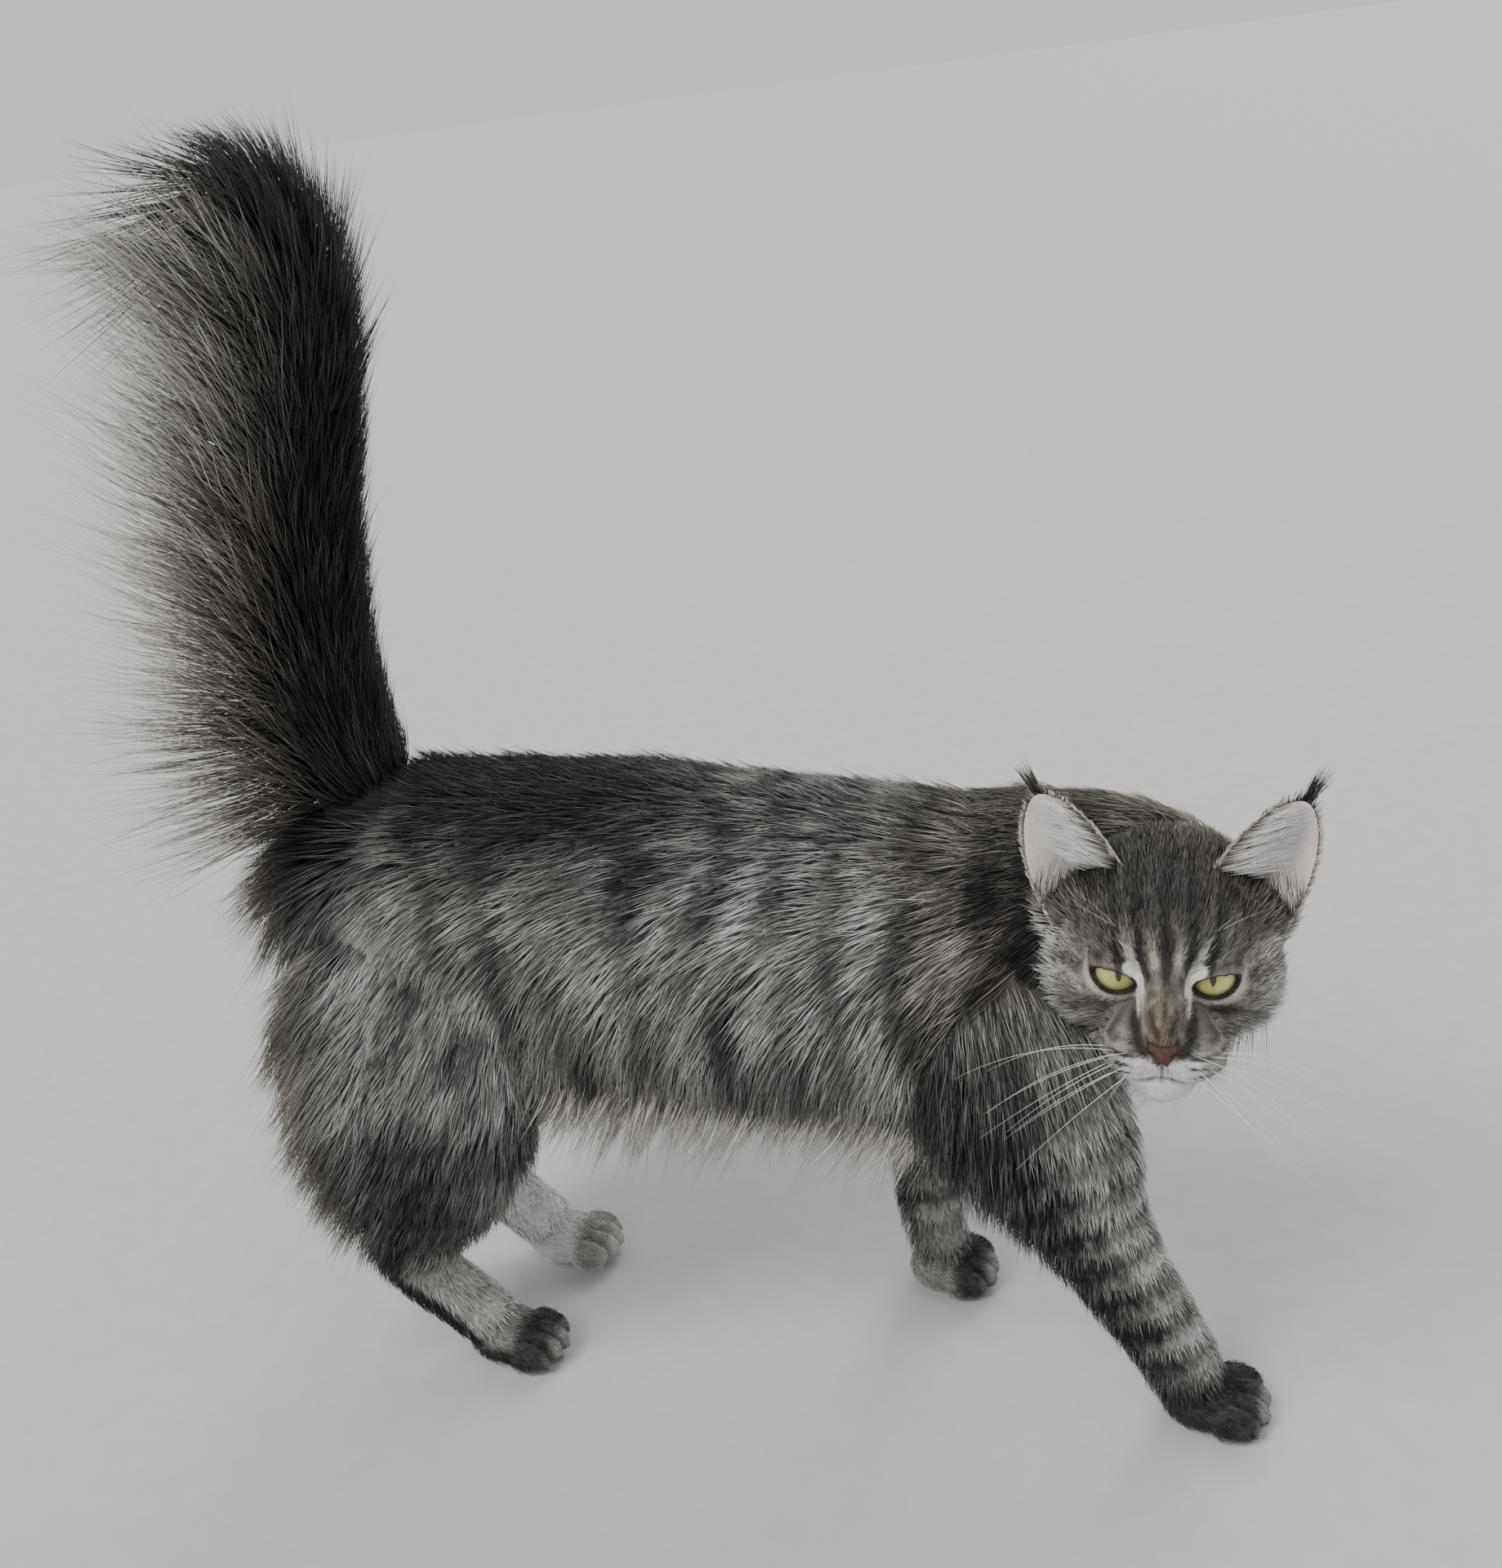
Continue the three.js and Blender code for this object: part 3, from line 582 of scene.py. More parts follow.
def thigh_marks(p):
    x, z = p[:, 0], p[:, 2]
    mottle = jitter(p * (1, 1, 0.6), 11, 15) + 0.6 * jitter(p, 6, 11)
    wave = (z * 0.35 - x * 0.95) / 34 + 1.0 * noise(p, 44, 16)
    bars = smooth(0.4, 0.85, ripple(wave))
    tone = 0.6 + 0.36 * mottle - 0.24 * bars * smooth(0.2, 0.55, noise(p, 28, 17))
    low = smooth(225, 165, z)
    rings = smooth(0.4, 0.8, ripple(z / 19 + 0.5 * noise(p, 40, 18)))
    tone = over(tone, low, 0.29 + 0.2 * mottle - 0.13 * rings)
    rear = smooth(-200, -240, x)
    tone = over(tone, rear, 0.28 + 0.18 * mottle)
    front = smooth(-172, -152, x) * smooth(190, 140, z)
    tone += 0.25 * front
    tone = tone * (1 - 0.7 * smooth(290, 325, z))
    return tone, 0.04 + 0.45 * rear


def shank_marks(p, loft):
    z = p[:, 2]
    place = p[:, 0] - centre_x(loft, z)
    mottle = jitter(p, 8, 19)
    low = smooth(60, 20, z)
    if loft is SHANK_LEFT:
        tone = 1.02 + 0.06 * mottle - 0.35 * smooth(-6, -13, place) - 0.25 * smooth(95, 125, z)
    else:
        tone = 0.8 + 0.2 * mottle - 0.42 * smooth(74, 105, z)
        tone -= 0.2 * smooth(0.5, 0.9, 0.5 + 0.5 * np.sin(z / 3.2)) * smooth(60, 75, z)
        rear = smooth(5, -1, place + 3 * low)
        tone = over(tone, rear, 0.06)
    return tone, 0.12 + 0.1 * mottle


def paw_marks(p, name):
    paw = PAWS[name]
    q = paw.local(p)
    toes = smooth(paw.length * 0.42, paw.length * 0.62, q[:, 0])
    mottle = jitter(p, 4, 21)
    base = {"fore_right": 0.19, "fore_left": 0.6, "hind_right": 0.62, "hind_left": 1.0}[name]
    tips = {"fore_right": 0.15, "fore_left": 0.2, "hind_right": 0.2, "hind_left": 0.62}[name]
    tone = over(base, toes, tips) + 0.14 * mottle
    if name == "hind_right":
        tone -= 0.5 * smooth(19, 12, q[:, 2]) * (1 - toes)
    edge = smooth(paw.length - 9, paw.length - 3, q[:, 0]) * smooth(3, 8, q[:, 2])
    edge = np.maximum(edge, smooth(6, 2.5, q[:, 2]))
    return tone + 0.5 * edge * (1 - tone), np.full(len(p), 0.12)


def tail_marks(p):
    mottle = jitter(p * (1, 1, 0.4), 11, 23)
    rings = smooth(0.45, 0.9, 0.5 + 0.5 * np.sin(TURN * p[:, 2] / 46))
    tone = 0.12 + 0.1 * mottle - 0.05 * rings
    tone *= 1 - 0.35 * smooth(590, 640, p[:, 2])
    return tone, 0.2 + 0.25 * (noise(p, 25, 24) - 0.3)


def head_marks(p):
    """Face pattern, in the head's own frame."""
    q = cat_to_head(p)
    x, y, z = q.T
    ax = np.abs(x)
    m = stacked(ax, y, z)
    grain = jitter(q, 3.2, 31)
    tick = jitter(q * (1, 1, 0.5), 2.2, 36)
    tone = 0.56 + 0.3 * grain + 0.3 * tick + 0.16 * jitter(q, 12, 32)
    warmth = 0.1 + 0.25 * noise(q, 20, 33)
    # forehead, with the upright stripes of the M
    fore = smooth(6, 13, z) * smooth(-25, 5, y)
    spread = 1 + 0.01 * np.maximum(z - 14, 0)
    stripes = 0.5 + 0.5 * np.cos(TURN * (x / spread) / 9.0 + 0.5 * np.sin(z / 7 + x / 9))
    tone = over(tone, fore, 0.38 + 0.26 * grain + 0.2 * tick - 0.13 * smooth(22, 34, z))
    lines = smooth(0.5, 0.85, stripes + 0.5 * jitter(q, 5, 35)) * smooth(27, 18, ax)
    tone = over(tone, fore * lines * (0.9 - 0.35 * smooth(22, 34, z)), 0.09)
    light = bell(z - 17, 6) * smooth(0.4, 0.05, stripes) * smooth(24, 17, ax) * smooth(5, 25, y)
    tone = over(tone, 0.75 * light, 0.84)
    tone = over(tone, 0.5 * smooth(30, 44, z), 0.26 + 0.2 * grain)
    # cheeks: dark lines that run back from the eye, a smudge below it and a pale ruff
    tone -= 0.3 * bell(line_distance(m, [(29, 36, 3), (40, 22, -2), (47, 0, -8)]), 2.6)
    tone -= 0.26 * bell(line_distance(m, [(26, 38, -9), (36, 26, -17), (44, 4, -26)]), 2.8)
    smudge = bell(ax - 23, 7) * bell(z + 9, 6) * smooth(10, 25, y)
    tone = over(tone, np.where(x < 0, 0.9, 0.42) * smudge, 0.08)
    tone += 0.2 * smooth(34, 44, ax) * smooth(18, 8, z) + 0.14 * smooth(-16, -34, z) * smooth(18, 32, ax)
    # bridge of the nose, tan, between dark tear lines
    bridge = smooth(8.4, 3.6, ax) * smooth(34, 44, y) * smooth(15, 3, z)
    tone = over(tone, bridge, 0.35 + 0.34 * grain + 0.3 * tick - 0.08 * smooth(-4, -14, z))
    warmth = over(warmth, bridge, 0.6 + 0.2 * smooth(0, -12, z))
    flat = m[:, [0, 2]]
    tear = line_distance(flat, [(12.4, 0), (11.8, -6), (8.6, -12), (7.0, -17)])
    tone = over(tone, 0.95 * bell(tear, 2.9) * smooth(25, 35, y), 0.03)
    # muzzle and chin
    pads = smooth(-13, -17.5, z) * smooth(44, 54, y) * smooth(20, 13, ax)
    chin = smooth(-29, -33, z) * smooth(30, 42, y) * smooth(22, 14, ax)
    side_pad = smooth(11, 15, ax) * smooth(34, 44, y) * smooth(-8, -14, z) * smooth(-36, -30, z)
    tone = over(tone, 0.8 * side_pad, 0.62 + 0.15 * grain)
    tone = over(tone, np.maximum(pads, chin), 0.95 + 0.05 * grain)
    warmth = over(warmth, np.maximum(pads, chin), 0.0)
    rows = 0.5 + 0.5 * np.cos(TURN * (z + 15.5) / 4.4)
    dashes = smooth(0.45, 0.8, rows) * smooth(0.25, 0.6, noise(q * (0.6, 0.6, 1.5), 3.2, 34))
    spots = dashes * smooth(9, 13, ax) * smooth(29, 23, ax) * smooth(34, 42, y) * bell(z + 20, 9)
    tone = over(tone, spots, 0.05)
    # round the eyes: dark rim, pale lower lid and a pale stroke at the inner corner
    face = q[:, [0, 2]]
    for side in (1, -1):
        share, front = lid_share(q, side)
        ez = eye_plane(q, side)[1]
        near = smooth(-6, 2, front)
        pale = bell(share - 1.5, 0.3) * smooth(1.0, -2.0, ez) * near
        tone = over(tone, 0.95 * pale, 0.88)
        inner = [(7.9, -5), (8.6, 1), (10.8, 7), (14.5, 10.8)]
        stroke = line_distance(face, [(side * across, up) for across, up in inner])
        tone = over(tone, smooth(3.3, 2.1, stroke) * smooth(22, 30, y) * smooth(59, 54, y), 0.98)
        stroke = segment_distance(face, (side * 10.6, 10), (side * 13.5, 18))
        tone = over(tone, 0.85 * smooth(2.0, 0.8, stroke) * smooth(15, 25, y), 0.88)
        warmth = over(warmth, pale, 0.5)
        tone = over(tone, smooth(1.18, 1.08, share) * near, 0.02)
    lips = bell(mouth_distance(q), 0.7) * smooth(16, 5, ax)
    tone = over(tone, 0.7 * lips, 0.12)
    rim = smooth(1.6, 0.6, np.abs(leather_reach(q)))
    tone = over(tone, 0.85 * rim * smooth(60, 66, y), 0.03)
    return tone, warmth


def leather_reach(q):
    """Below 0 on the nose's leather, a triangle that narrows downwards, in millimetres."""
    x, y, z = q.T
    half = 1.2 + 4.2 * smooth(-18.5, -10.5, z)
    reach = np.maximum(np.abs(x) - half, np.maximum(z + 8.6, -18.4 - z))
    return np.where(y > 62, reach, 9.0)


def ear_marks(p, inside):
    tone = np.where(inside, 0.86, 0.3) + 0.08 * jitter(p, 4, 41)
    return tone, np.where(inside, 0.25, 0.2)


MARKS = {
    "trunk": trunk_marks,
    "neck": neck_marks,
    "fore_right": lambda p: fore_marks(p, FORE_RIGHT),
    "fore_left": lambda p: fore_marks(p, FORE_LEFT),
    "thigh_right": thigh_marks,
    "thigh_left": thigh_marks,
    "shank_right": lambda p: shank_marks(p, SHANK_RIGHT),
    "shank_left": lambda p: shank_marks(p, SHANK_LEFT),
    "tail": tail_marks,
}


def body_marks(p):
    """Markings of any place on the lofted body, mixed between the parts that meet there."""
    total = np.zeros(len(p))
    tone = np.zeros(len(p))
    warmth = np.zeros(len(p))
    for name, loft in LOFTS.items():
        weight = np.exp(-9 * np.maximum(loft.depth(p, 24) - 0.9, 0)) ** 2 + 1e-9
        t, w = MARKS[name](p)
        tone += weight * t
        warmth += weight * w
        total += weight
    return tone / total, warmth / total


# Meshes


def linked(name, data):
    """An object of the data, in the scene."""
    obj = bpy.data.objects.new(name, data)
    bpy.context.scene.collection.objects.link(obj)
    return obj


def new_mesh(name, points, faces):
    """A mesh object of triangles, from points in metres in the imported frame."""
    mesh = bpy.data.meshes.new(name)
    mesh.vertices.add(len(points))
    mesh.vertices.foreach_set("co", np.ascontiguousarray(points, np.float32).ravel())
    mesh.loops.add(faces.size)
    mesh.loops.foreach_set("vertex_index", np.ascontiguousarray(faces, np.int32).ravel())
    mesh.polygons.add(len(faces))
    mesh.polygons.foreach_set("loop_start", np.arange(0, faces.size, 3, dtype=np.int32))
    mesh.update(calc_edges=True)
    mesh.polygons.foreach_set("use_smooth", np.ones(len(faces), bool))
    return linked(name, mesh)


def set_values(obj, **values):
    for name, value in values.items():
        layer = obj.data.attributes.new(name, "FLOAT", "POINT")
        layer.data.foreach_set("value", np.ascontiguousarray(value, np.float32))


def joined(name, parts):
    """One object from several lists of points and faces."""
    points, faces, start = [], [], 0
    for p, f in parts:
        points.append(p)
        faces.append(f + start)
        start += len(p)
    return new_mesh(name, np.vstack(points), np.vstack(faces))


# Materials


class Nodes:
    """Short hand for building a node tree."""

    def __init__(self, name):
        self.material = bpy.data.materials.new(name)
        self.material.use_nodes = True
        self.tree = self.material.node_tree
        self.shader = self.tree.nodes["Principled BSDF"]

    def node(self, kind, **settings):
        made = self.tree.nodes.new(kind)
        for key, value in settings.items():
            setattr(made, key, value)
        return made

    def give(self, socket, given):
        """Sets a socket to a number or a colour, or links it."""
        if isinstance(given, (int, float)):
            socket.default_value = given
        elif isinstance(given, tuple):
            socket.default_value = (*given, 1)
        else:
            self.tree.links.new(given, socket)

    def value(self, name):
        return self.node("ShaderNodeAttribute", attribute_name=name).outputs["Fac"]

    def place(self):
        return self.node("ShaderNodeTexCoord").outputs["Object"]

    def math(self, operation, a, b=0.0, clamp=False):
        made = self.node("ShaderNodeMath", operation=operation, use_clamp=clamp)
        self.give(made.inputs[0], a)
        self.give(made.inputs[1], b)
        return made.outputs[0]

    def swing(self, base, source, amount, clamp=False):
        """The base, moved by the amount times how far the source is from its middle."""
        offset = self.math("MULTIPLY", self.math("SUBTRACT", source, 0.5), amount)
        return self.math("ADD", base, offset, clamp)

    def noise(self, scale, detail, place):
        made = self.node("ShaderNodeTexNoise")
        for name, given in (("Scale", scale), ("Detail", detail), ("Vector", place)):
            self.give(made.inputs[name], given)
        return made.outputs[0]

    def ramp(self, factor, stops):
        made = self.node("ShaderNodeValToRGB")
        elements = made.color_ramp.elements
        while len(elements) < len(stops):
            elements.new(0.5)
        for element, (place, colour) in zip(elements, stops):
            element.position = place
            element.color = (*colour, 1)
        self.give(made.inputs[0], factor)
        return made.outputs[0]

    def mix(self, factor, a, b, kind="MIX"):
        made = self.node("ShaderNodeMix", data_type="RGBA", blend_type=kind)
        for index, given in ((0, factor), (6, a), (7, b)):
            self.give(made.inputs[index], given)
        return made.outputs[2]

    def fur(self, shade):
        """The coat's colour at a shade, mixed by the mesh's warmth."""
        return self.mix(self.value("warmth"), self.ramp(shade, GREY_STOPS), self.ramp(shade, WARM_STOPS))

    def finish(self, colour, **values):
        """Sets the shader's sockets and gives the material."""
        self.give(self.shader.inputs["Base Color"], colour)
        for name, value in values.items():
            self.shader.inputs[name.replace("_", " ")].default_value = value
        return self.material


GREY_STOPS = [
    (0.0, (0.01, 0.009, 0.009)), (0.18, (0.035, 0.034, 0.033)), (0.4, (0.15, 0.148, 0.143)),
    (0.62, (0.4, 0.397, 0.387)), (0.82, (0.68, 0.68, 0.67)), (1.0, (0.87, 0.88, 0.91)),
]
WARM_STOPS = [
    (0.0, (0.012, 0.008, 0.006)), (0.18, (0.05, 0.036, 0.025)), (0.4, (0.19, 0.145, 0.1)),
    (0.62, (0.44, 0.36, 0.27)), (0.82, (0.7, 0.64, 0.55)), (1.0, (0.9, 0.87, 0.81)),
]


def coat_material():
    n = Nodes("coat_hair")
    ticks = [(0.0, 0.45), (0.35, 0.82), (0.7, 1.0), (1.0, 1.0)]
    ticking = n.ramp(n.value("along"), [(place, (shade,) * 3) for place, shade in ticks])
    shade = n.math("MULTIPLY", n.swing(n.value("tone"), n.value("speck"), 0.36), ticking, clamp=True)
    return n.finish(n.fur(shade), Roughness=0.62, Specular_IOR_Level=0.28)


def skin_material():
    n = Nodes("skin")
    fine = n.noise(420, 4, n.place())
    shade = n.math("MULTIPLY", n.swing(n.value("tone"), fine, 0.16, clamp=True), 0.8)
    leather = n.ramp(fine, [(0.3, (0.06, 0.026, 0.022)), (0.7, (0.11, 0.048, 0.042))])
    pink = n.ramp(fine, [(0.3, (0.6, 0.52, 0.52)), (0.7, (0.74, 0.68, 0.68))])
    colour = n.mix(n.value("nose"), n.fur(shade), leather)
    bump = n.node("ShaderNodeBump")
    for name, given in (("Strength", 0.35), ("Distance", 0.0006), ("Height", fine)):
        n.give(bump.inputs[name], given)
    n.give(n.shader.inputs["Normal"], bump.outputs[0])
    return n.finish(n.mix(n.value("pink"), colour, pink), Roughness=0.6, Specular_IOR_Level=0.3)


def eye_material():
    """Iris, pupil and rim from the eye's own coordinates, with -Y out along the gaze."""
    n = Nodes("eye")
    split = n.node("ShaderNodeSeparateXYZ")
    n.give(split.inputs[0], n.place())
    x, _, z = split.outputs
    radius = n.math("SQRT", n.math("ADD", n.math("MULTIPLY", x, x), n.math("MULTIPLY", z, z)))
    share = n.math("DIVIDE", radius, EYE_RADIUS / 1000)
    polar = n.node("ShaderNodeCombineXYZ")
    n.give(polar.inputs[0], n.math("MULTIPLY", n.math("ARCTAN2", z, x), 2.2))
    n.give(polar.inputs[1], n.math("MULTIPLY", share, 1.3))
    iris = n.ramp(
        n.swing(share, n.noise(7, 5, polar.outputs[0]), 0.22),
        [
            (0.0, (0.34, 0.29, 0.08)), (0.28, (0.47, 0.44, 0.12)), (0.55, (0.52, 0.51, 0.19)),
            (0.78, (0.38, 0.38, 0.13)), (0.9, (0.09, 0.09, 0.03)), (1.0, (0.02, 0.018, 0.015)),
        ],
    )
    halves = [(x, PUPIL_HALF_WIDTH), (n.math("SUBTRACT", z, PUPIL_LIFT), PUPIL_HALF_HEIGHT)]
    shares = [n.math("POWER", n.math("DIVIDE", n.math("ABSOLUTE", v), half), 2.0) for v, half in halves]
    pupil = n.ramp(n.math("ADD", *shares), [(0.0, (0, 0, 0)), (0.72, (0, 0, 0)), (1.0, (1, 1, 1))])
    colour = n.mix(1.0, iris, pupil, "MULTIPLY")
    return n.finish(colour, Roughness=0.16, Coat_Weight=1.0, Coat_Roughness=0.03)


def plain_material(name, colour, roughness):
    n = Nodes(name)
    low = tuple(0.94 * c for c in colour)
    fine = n.noise(60, 2, n.place())
    return n.finish(n.ramp(fine, [(0.3, low), (0.7, colour)]), Roughness=roughness)


COAT = coat_material()
SKIN = skin_material()

# Skin


def body_skin():
    parts = [loft.shell(70, 56, -SKIN_INSET) for loft in LOFTS.values()]
    obj = joined("body_skin", [(to_frame(p), f) for p, f in parts])
    remesh = obj.modifiers.new("union", "REMESH")
    remesh.mode = "VOXEL"
    remesh.voxel_size = BODY_VOXEL
    soften = obj.modifiers.new("soften", "SMOOTH")
    soften.factor = 0.5
    soften.iterations = 6
    split = obj.modifiers.new("split", "TRIANGULATE")
    split.quad_method = "BEAUTY"
    made = bpy.data.meshes.new_from_object(obj.evaluated_get(bpy.context.evaluated_depsgraph_get()))
    bpy.data.objects.remove(obj)
    points = np.zeros(len(made.vertices) * 3, np.float32)
    made.vertices.foreach_get("co", points)
    faces = np.zeros(len(made.loops), np.int32)
    made.loops.foreach_get("vertex_index", faces)
    return points.reshape(-1, 3).astype(float) * 1000 - CAT_TO_FRAME, faces.reshape(-1, 3)


EAR_HALF = 20.5


def ear_place(side, u, v):
    """The ear's middle sheet at u across (-1 to 1) and v up (0 to 1), with its opening's direction."""
    base = np.array([side * 34.0, 2, 25])
    upward = np.array([side * 22.0, -8, EAR_HEIGHT])
    height = np.linalg.norm(upward)
    upward = upward / height
    opening = np.array([side * 0.12, 1, 0.15])
    opening = unit(opening - (opening @ upward) * upward)
    across = np.cross(opening, upward)
    half = EAR_HALF * np.maximum(1 - v * v, 0) ** 0.6
    cup = 12 * np.maximum(1 - v, 0) ** 0.8
    deep = cup * (1 - u * u)
    middle = (
        base
        + upward * (height * v)[:, None]
        + across * (u * half)[:, None]
        + opening * (-deep + 6 * (1 - v))[:, None]
    )
    return middle, opening, upward, across


def ear_shell(side):
    rows, columns = 34, 30
    v = np.repeat(np.linspace(-0.18, 0.995, rows), columns)
    u = np.tile(np.linspace(-1, 1, columns), rows)
    middle, opening = ear_place(side, u, v)[:2]
    edge = 0.3 + 0.7 * np.sqrt(np.maximum(0, 1 - u * u))
    thick = (1.5 - 0.8 * np.clip(v, 0, 1)) * edge
    ridges = 0.35 * np.sin(u * 9) * np.clip(1 - v, 0, 1)
    front = (middle + opening * (thick + ridges)[:, None]).reshape(rows, columns, 3)
    back = (middle - opening * thick[:, None]).reshape(rows, columns, 3)
    rings = np.concatenate([front, back[:, ::-1]], 1)
    points = head_to_cat(rings.reshape(-1, 3))
    caps = head_to_cat(np.array([rings[0].mean(0), rings[-1].mean(0)]))
    faces = capped_faces(rows, 2 * columns)
    inside = np.append(np.tile(np.repeat([1.0, 0.0], columns), rows), [0, 0])
    return np.vstack([points, caps]), faces[:, ::-1] if side > 0 else faces, inside


def build_skin():
    parts, values = [], []

    def add(points, faces, marks, nose=0.0, pink=0.0):
        parts.append((to_frame(points), faces))
        values.append([np.broadcast_to(v, len(points)) for v in (*marks, nose, pink)])

    points, faces = body_skin()
    add(points, faces, body_marks(points))
    local, faces = radial_shell(head_distance, np.array([0.0, 10, 0]), head_ways, 150, 190, 100, 1.45)
    points = head_to_cat(local)
    nose = smooth(0.3, -0.5, leather_reach(local))
    add(points, faces, head_marks(points), nose=nose)
    for name, paw in PAWS.items():
        local, faces = radial_shell(paw.distance, paw.origin, paw.ways, 46, 72, 60)
        points = paw.to_cat(local)
        add(points, faces, paw_marks(points, name))
    for side in (1, -1):
        points, faces, inside = ear_shell(side)
        add(points, faces, ear_marks(points, inside > 0.5), pink=0.75 * inside)
    obj = joined("skin", parts)
    tone, warmth, nose, pink = (np.concatenate(v) for v in zip(*values))
    set_values(obj, tone=np.clip(tone, 0, 1), warmth=np.clip(warmth, 0, 1), nose=nose, pink=pink)
    obj.data.materials.append(SKIN)
    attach(obj, "root")
    flesh = [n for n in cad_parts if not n.startswith("eye")]
    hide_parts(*flesh)


# Coat


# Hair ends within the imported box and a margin, and above the floor
margin = 0.03 * (np.array(cad_high) - np.array(cad_low)) + 0.008
COAT_LOW = (np.array(cad_low) - margin) * 1000 - CAT_TO_FRAME
COAT_HIGH = (np.array(cad_high) + margin) * 1000 - CAT_TO_FRAME
COAT_LOW[2] = 0.2


def clumped(tips, roots, cell, pull):
    """Draws the tips of hairs with neighbouring roots together."""
    key = np.floor((roots + 1000) / cell).astype(np.int64)
    code = (key[:, 0] * 4096 + key[:, 1]) * 4096 + key[:, 2]
    _, group = np.unique(code, return_inverse=True)
    count = np.bincount(group).astype(float)
    mean = np.stack([np.bincount(group, tips[:, k]) / count for k in range(3)], 1)
    return tips + (mean[group] - tips) * pull, group


def hairs(name, roots, normals, lies, length, lift, width, uv, marks, *, root_lift=None, droop=0.0,
          curl=0.0, cell=9.0, pull=0.4, steps=2, sink=1.5, flat=0.45, stray=0.09, speck=1.0, tip=None):
    """Solid tapered hairs, each a closed three-sided spike that bends from the root to its tip.

    Lengths and widths are millimetres and lifts radians above the skin, one value or one each.
    """
    n = len(roots)
    given = (length, lift, width, droop)
    length, lift, width, droop = (np.broadcast_to(np.asarray(v, float), n) for v in given)
    root_lift = lift + 0.45 if root_lift is None else np.broadcast_to(root_lift, n)
    lies = unit(lies - normals * np.sum(lies * normals, 1)[:, None])
    stray_way = rng.normal(0, stray, (n, 3))
    first = lies * np.cos(root_lift)[:, None] + normals * np.sin(root_lift)[:, None]
    final = lies * np.cos(lift)[:, None] + normals * np.sin(lift)[:, None] + stray_way
    tips = roots + final * length[:, None]
    tips[:, 2] -= droop * length
    tips, group = clumped(tips, roots, cell, pull)
    if curl:
        sway = rng.normal(0, curl, (group.max() + 1, 3))
        tips += sway[group] * length[:, None]
    knee = roots + first * (0.42 * length)[:, None]
    start = roots - normals * sink
    side = unit(np.cross(final, normals))
    along = np.linspace(0, 1, steps + 1)
    rings, shares = [], []
    taper = 1 - along**1.6
    for s, w in zip(along[:-1], taper[:-1]):
        centre = start * (1 - s) ** 2 + knee * 2 * s * (1 - s) + tips * s * s
        half = (0.5 * width * w)[:, None]
        up = normals * half * flat
        rings += [centre + side * half - up, centre - side * half - up, centre + up * 1.6]
        shares += [s] * 3
    rings.append(tips)
    shares.append(1.0)
    per = len(rings)
    points = np.stack(rings, 1).reshape(-1, 3)
    faces = [(0, 2, 1)]
    for r in range(steps - 1):
        for k in range(3):
            a, b = 3 * r + k, 3 * r + (k + 1) % 3
            faces += [(a, b, b + 3), (a, b + 3, a + 3)]
    base = 3 * (steps - 1)
    faces += [(base + k, base + (k + 1) % 3, per - 1) for k in range(3)]
    template = np.array(faces)
    triangles = (template[None] + per * np.arange(n)[:, None, None]).reshape(-1, 3)
    obj = new_mesh(name, to_frame(np.clip(points, COAT_LOW, COAT_HIGH)), triangles)
    tone, warmth = marks
    tip = tone if tip is None else tip
    shares = np.array(shares)
    tones = tone[:, None] * (1 - shares) + tip[:, None] * shares
    set_values(
        obj,
        tone=np.clip(tones, 0, 1).ravel(),
        warmth=np.repeat(np.clip(warmth, 0, 1), per),
        along=np.tile(shares, n),
        speck=np.repeat(0.5 + speck * (rng.random(n) - 0.5), per),
    )
    place = np.clip(uv, 0.004, 0.996)
    patch = stacked(np.tile([0, 1, 0.5], steps).tolist() + [0.5], shares)
    spots = (place[:, None] + TUFT_PATCH * (np.array(patch, float)[None] - 0.5)).reshape(-1, 2)
    layer = obj.data.uv_layers.new(name="OFBake")
    layer.data.foreach_set("uv", np.ascontiguousarray(spots[triangles.ravel()], np.float32).ravel())
    obj.data.materials.append(COAT)
    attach(obj, "root")


def loft_roots(loft, count, near=(), bare=1.0):
    """Evenly spread places on a loft that lie outside the lofts near it."""
    count = fewer(count)
    t = rng.random(count * 3)
    step = loft.centre(np.minimum(t + 0.01, 1)) - loft.centre(np.maximum(t - 0.01, 0))
    weight = loft.girth(t) * np.linalg.norm(step, axis=1)
    keep = rng.random(len(t)) < weight / weight.max()
    t = t[keep]
    angle = rng.random(len(t)) * TURN
    point = loft.at(t, angle, -SKIN_INSET)[0]
    clear = np.ones(len(t), bool)
    for other in near:
        clear &= other.depth(point) > bare
    t, angle = t[clear][:count], angle[clear][:count]
    return t, angle, *loft.at(t, angle, -SKIN_INSET)


def spread(values):
    return values * (1 + 0.16 * rng.standard_normal(len(values))).clip(0.55, 1.5)


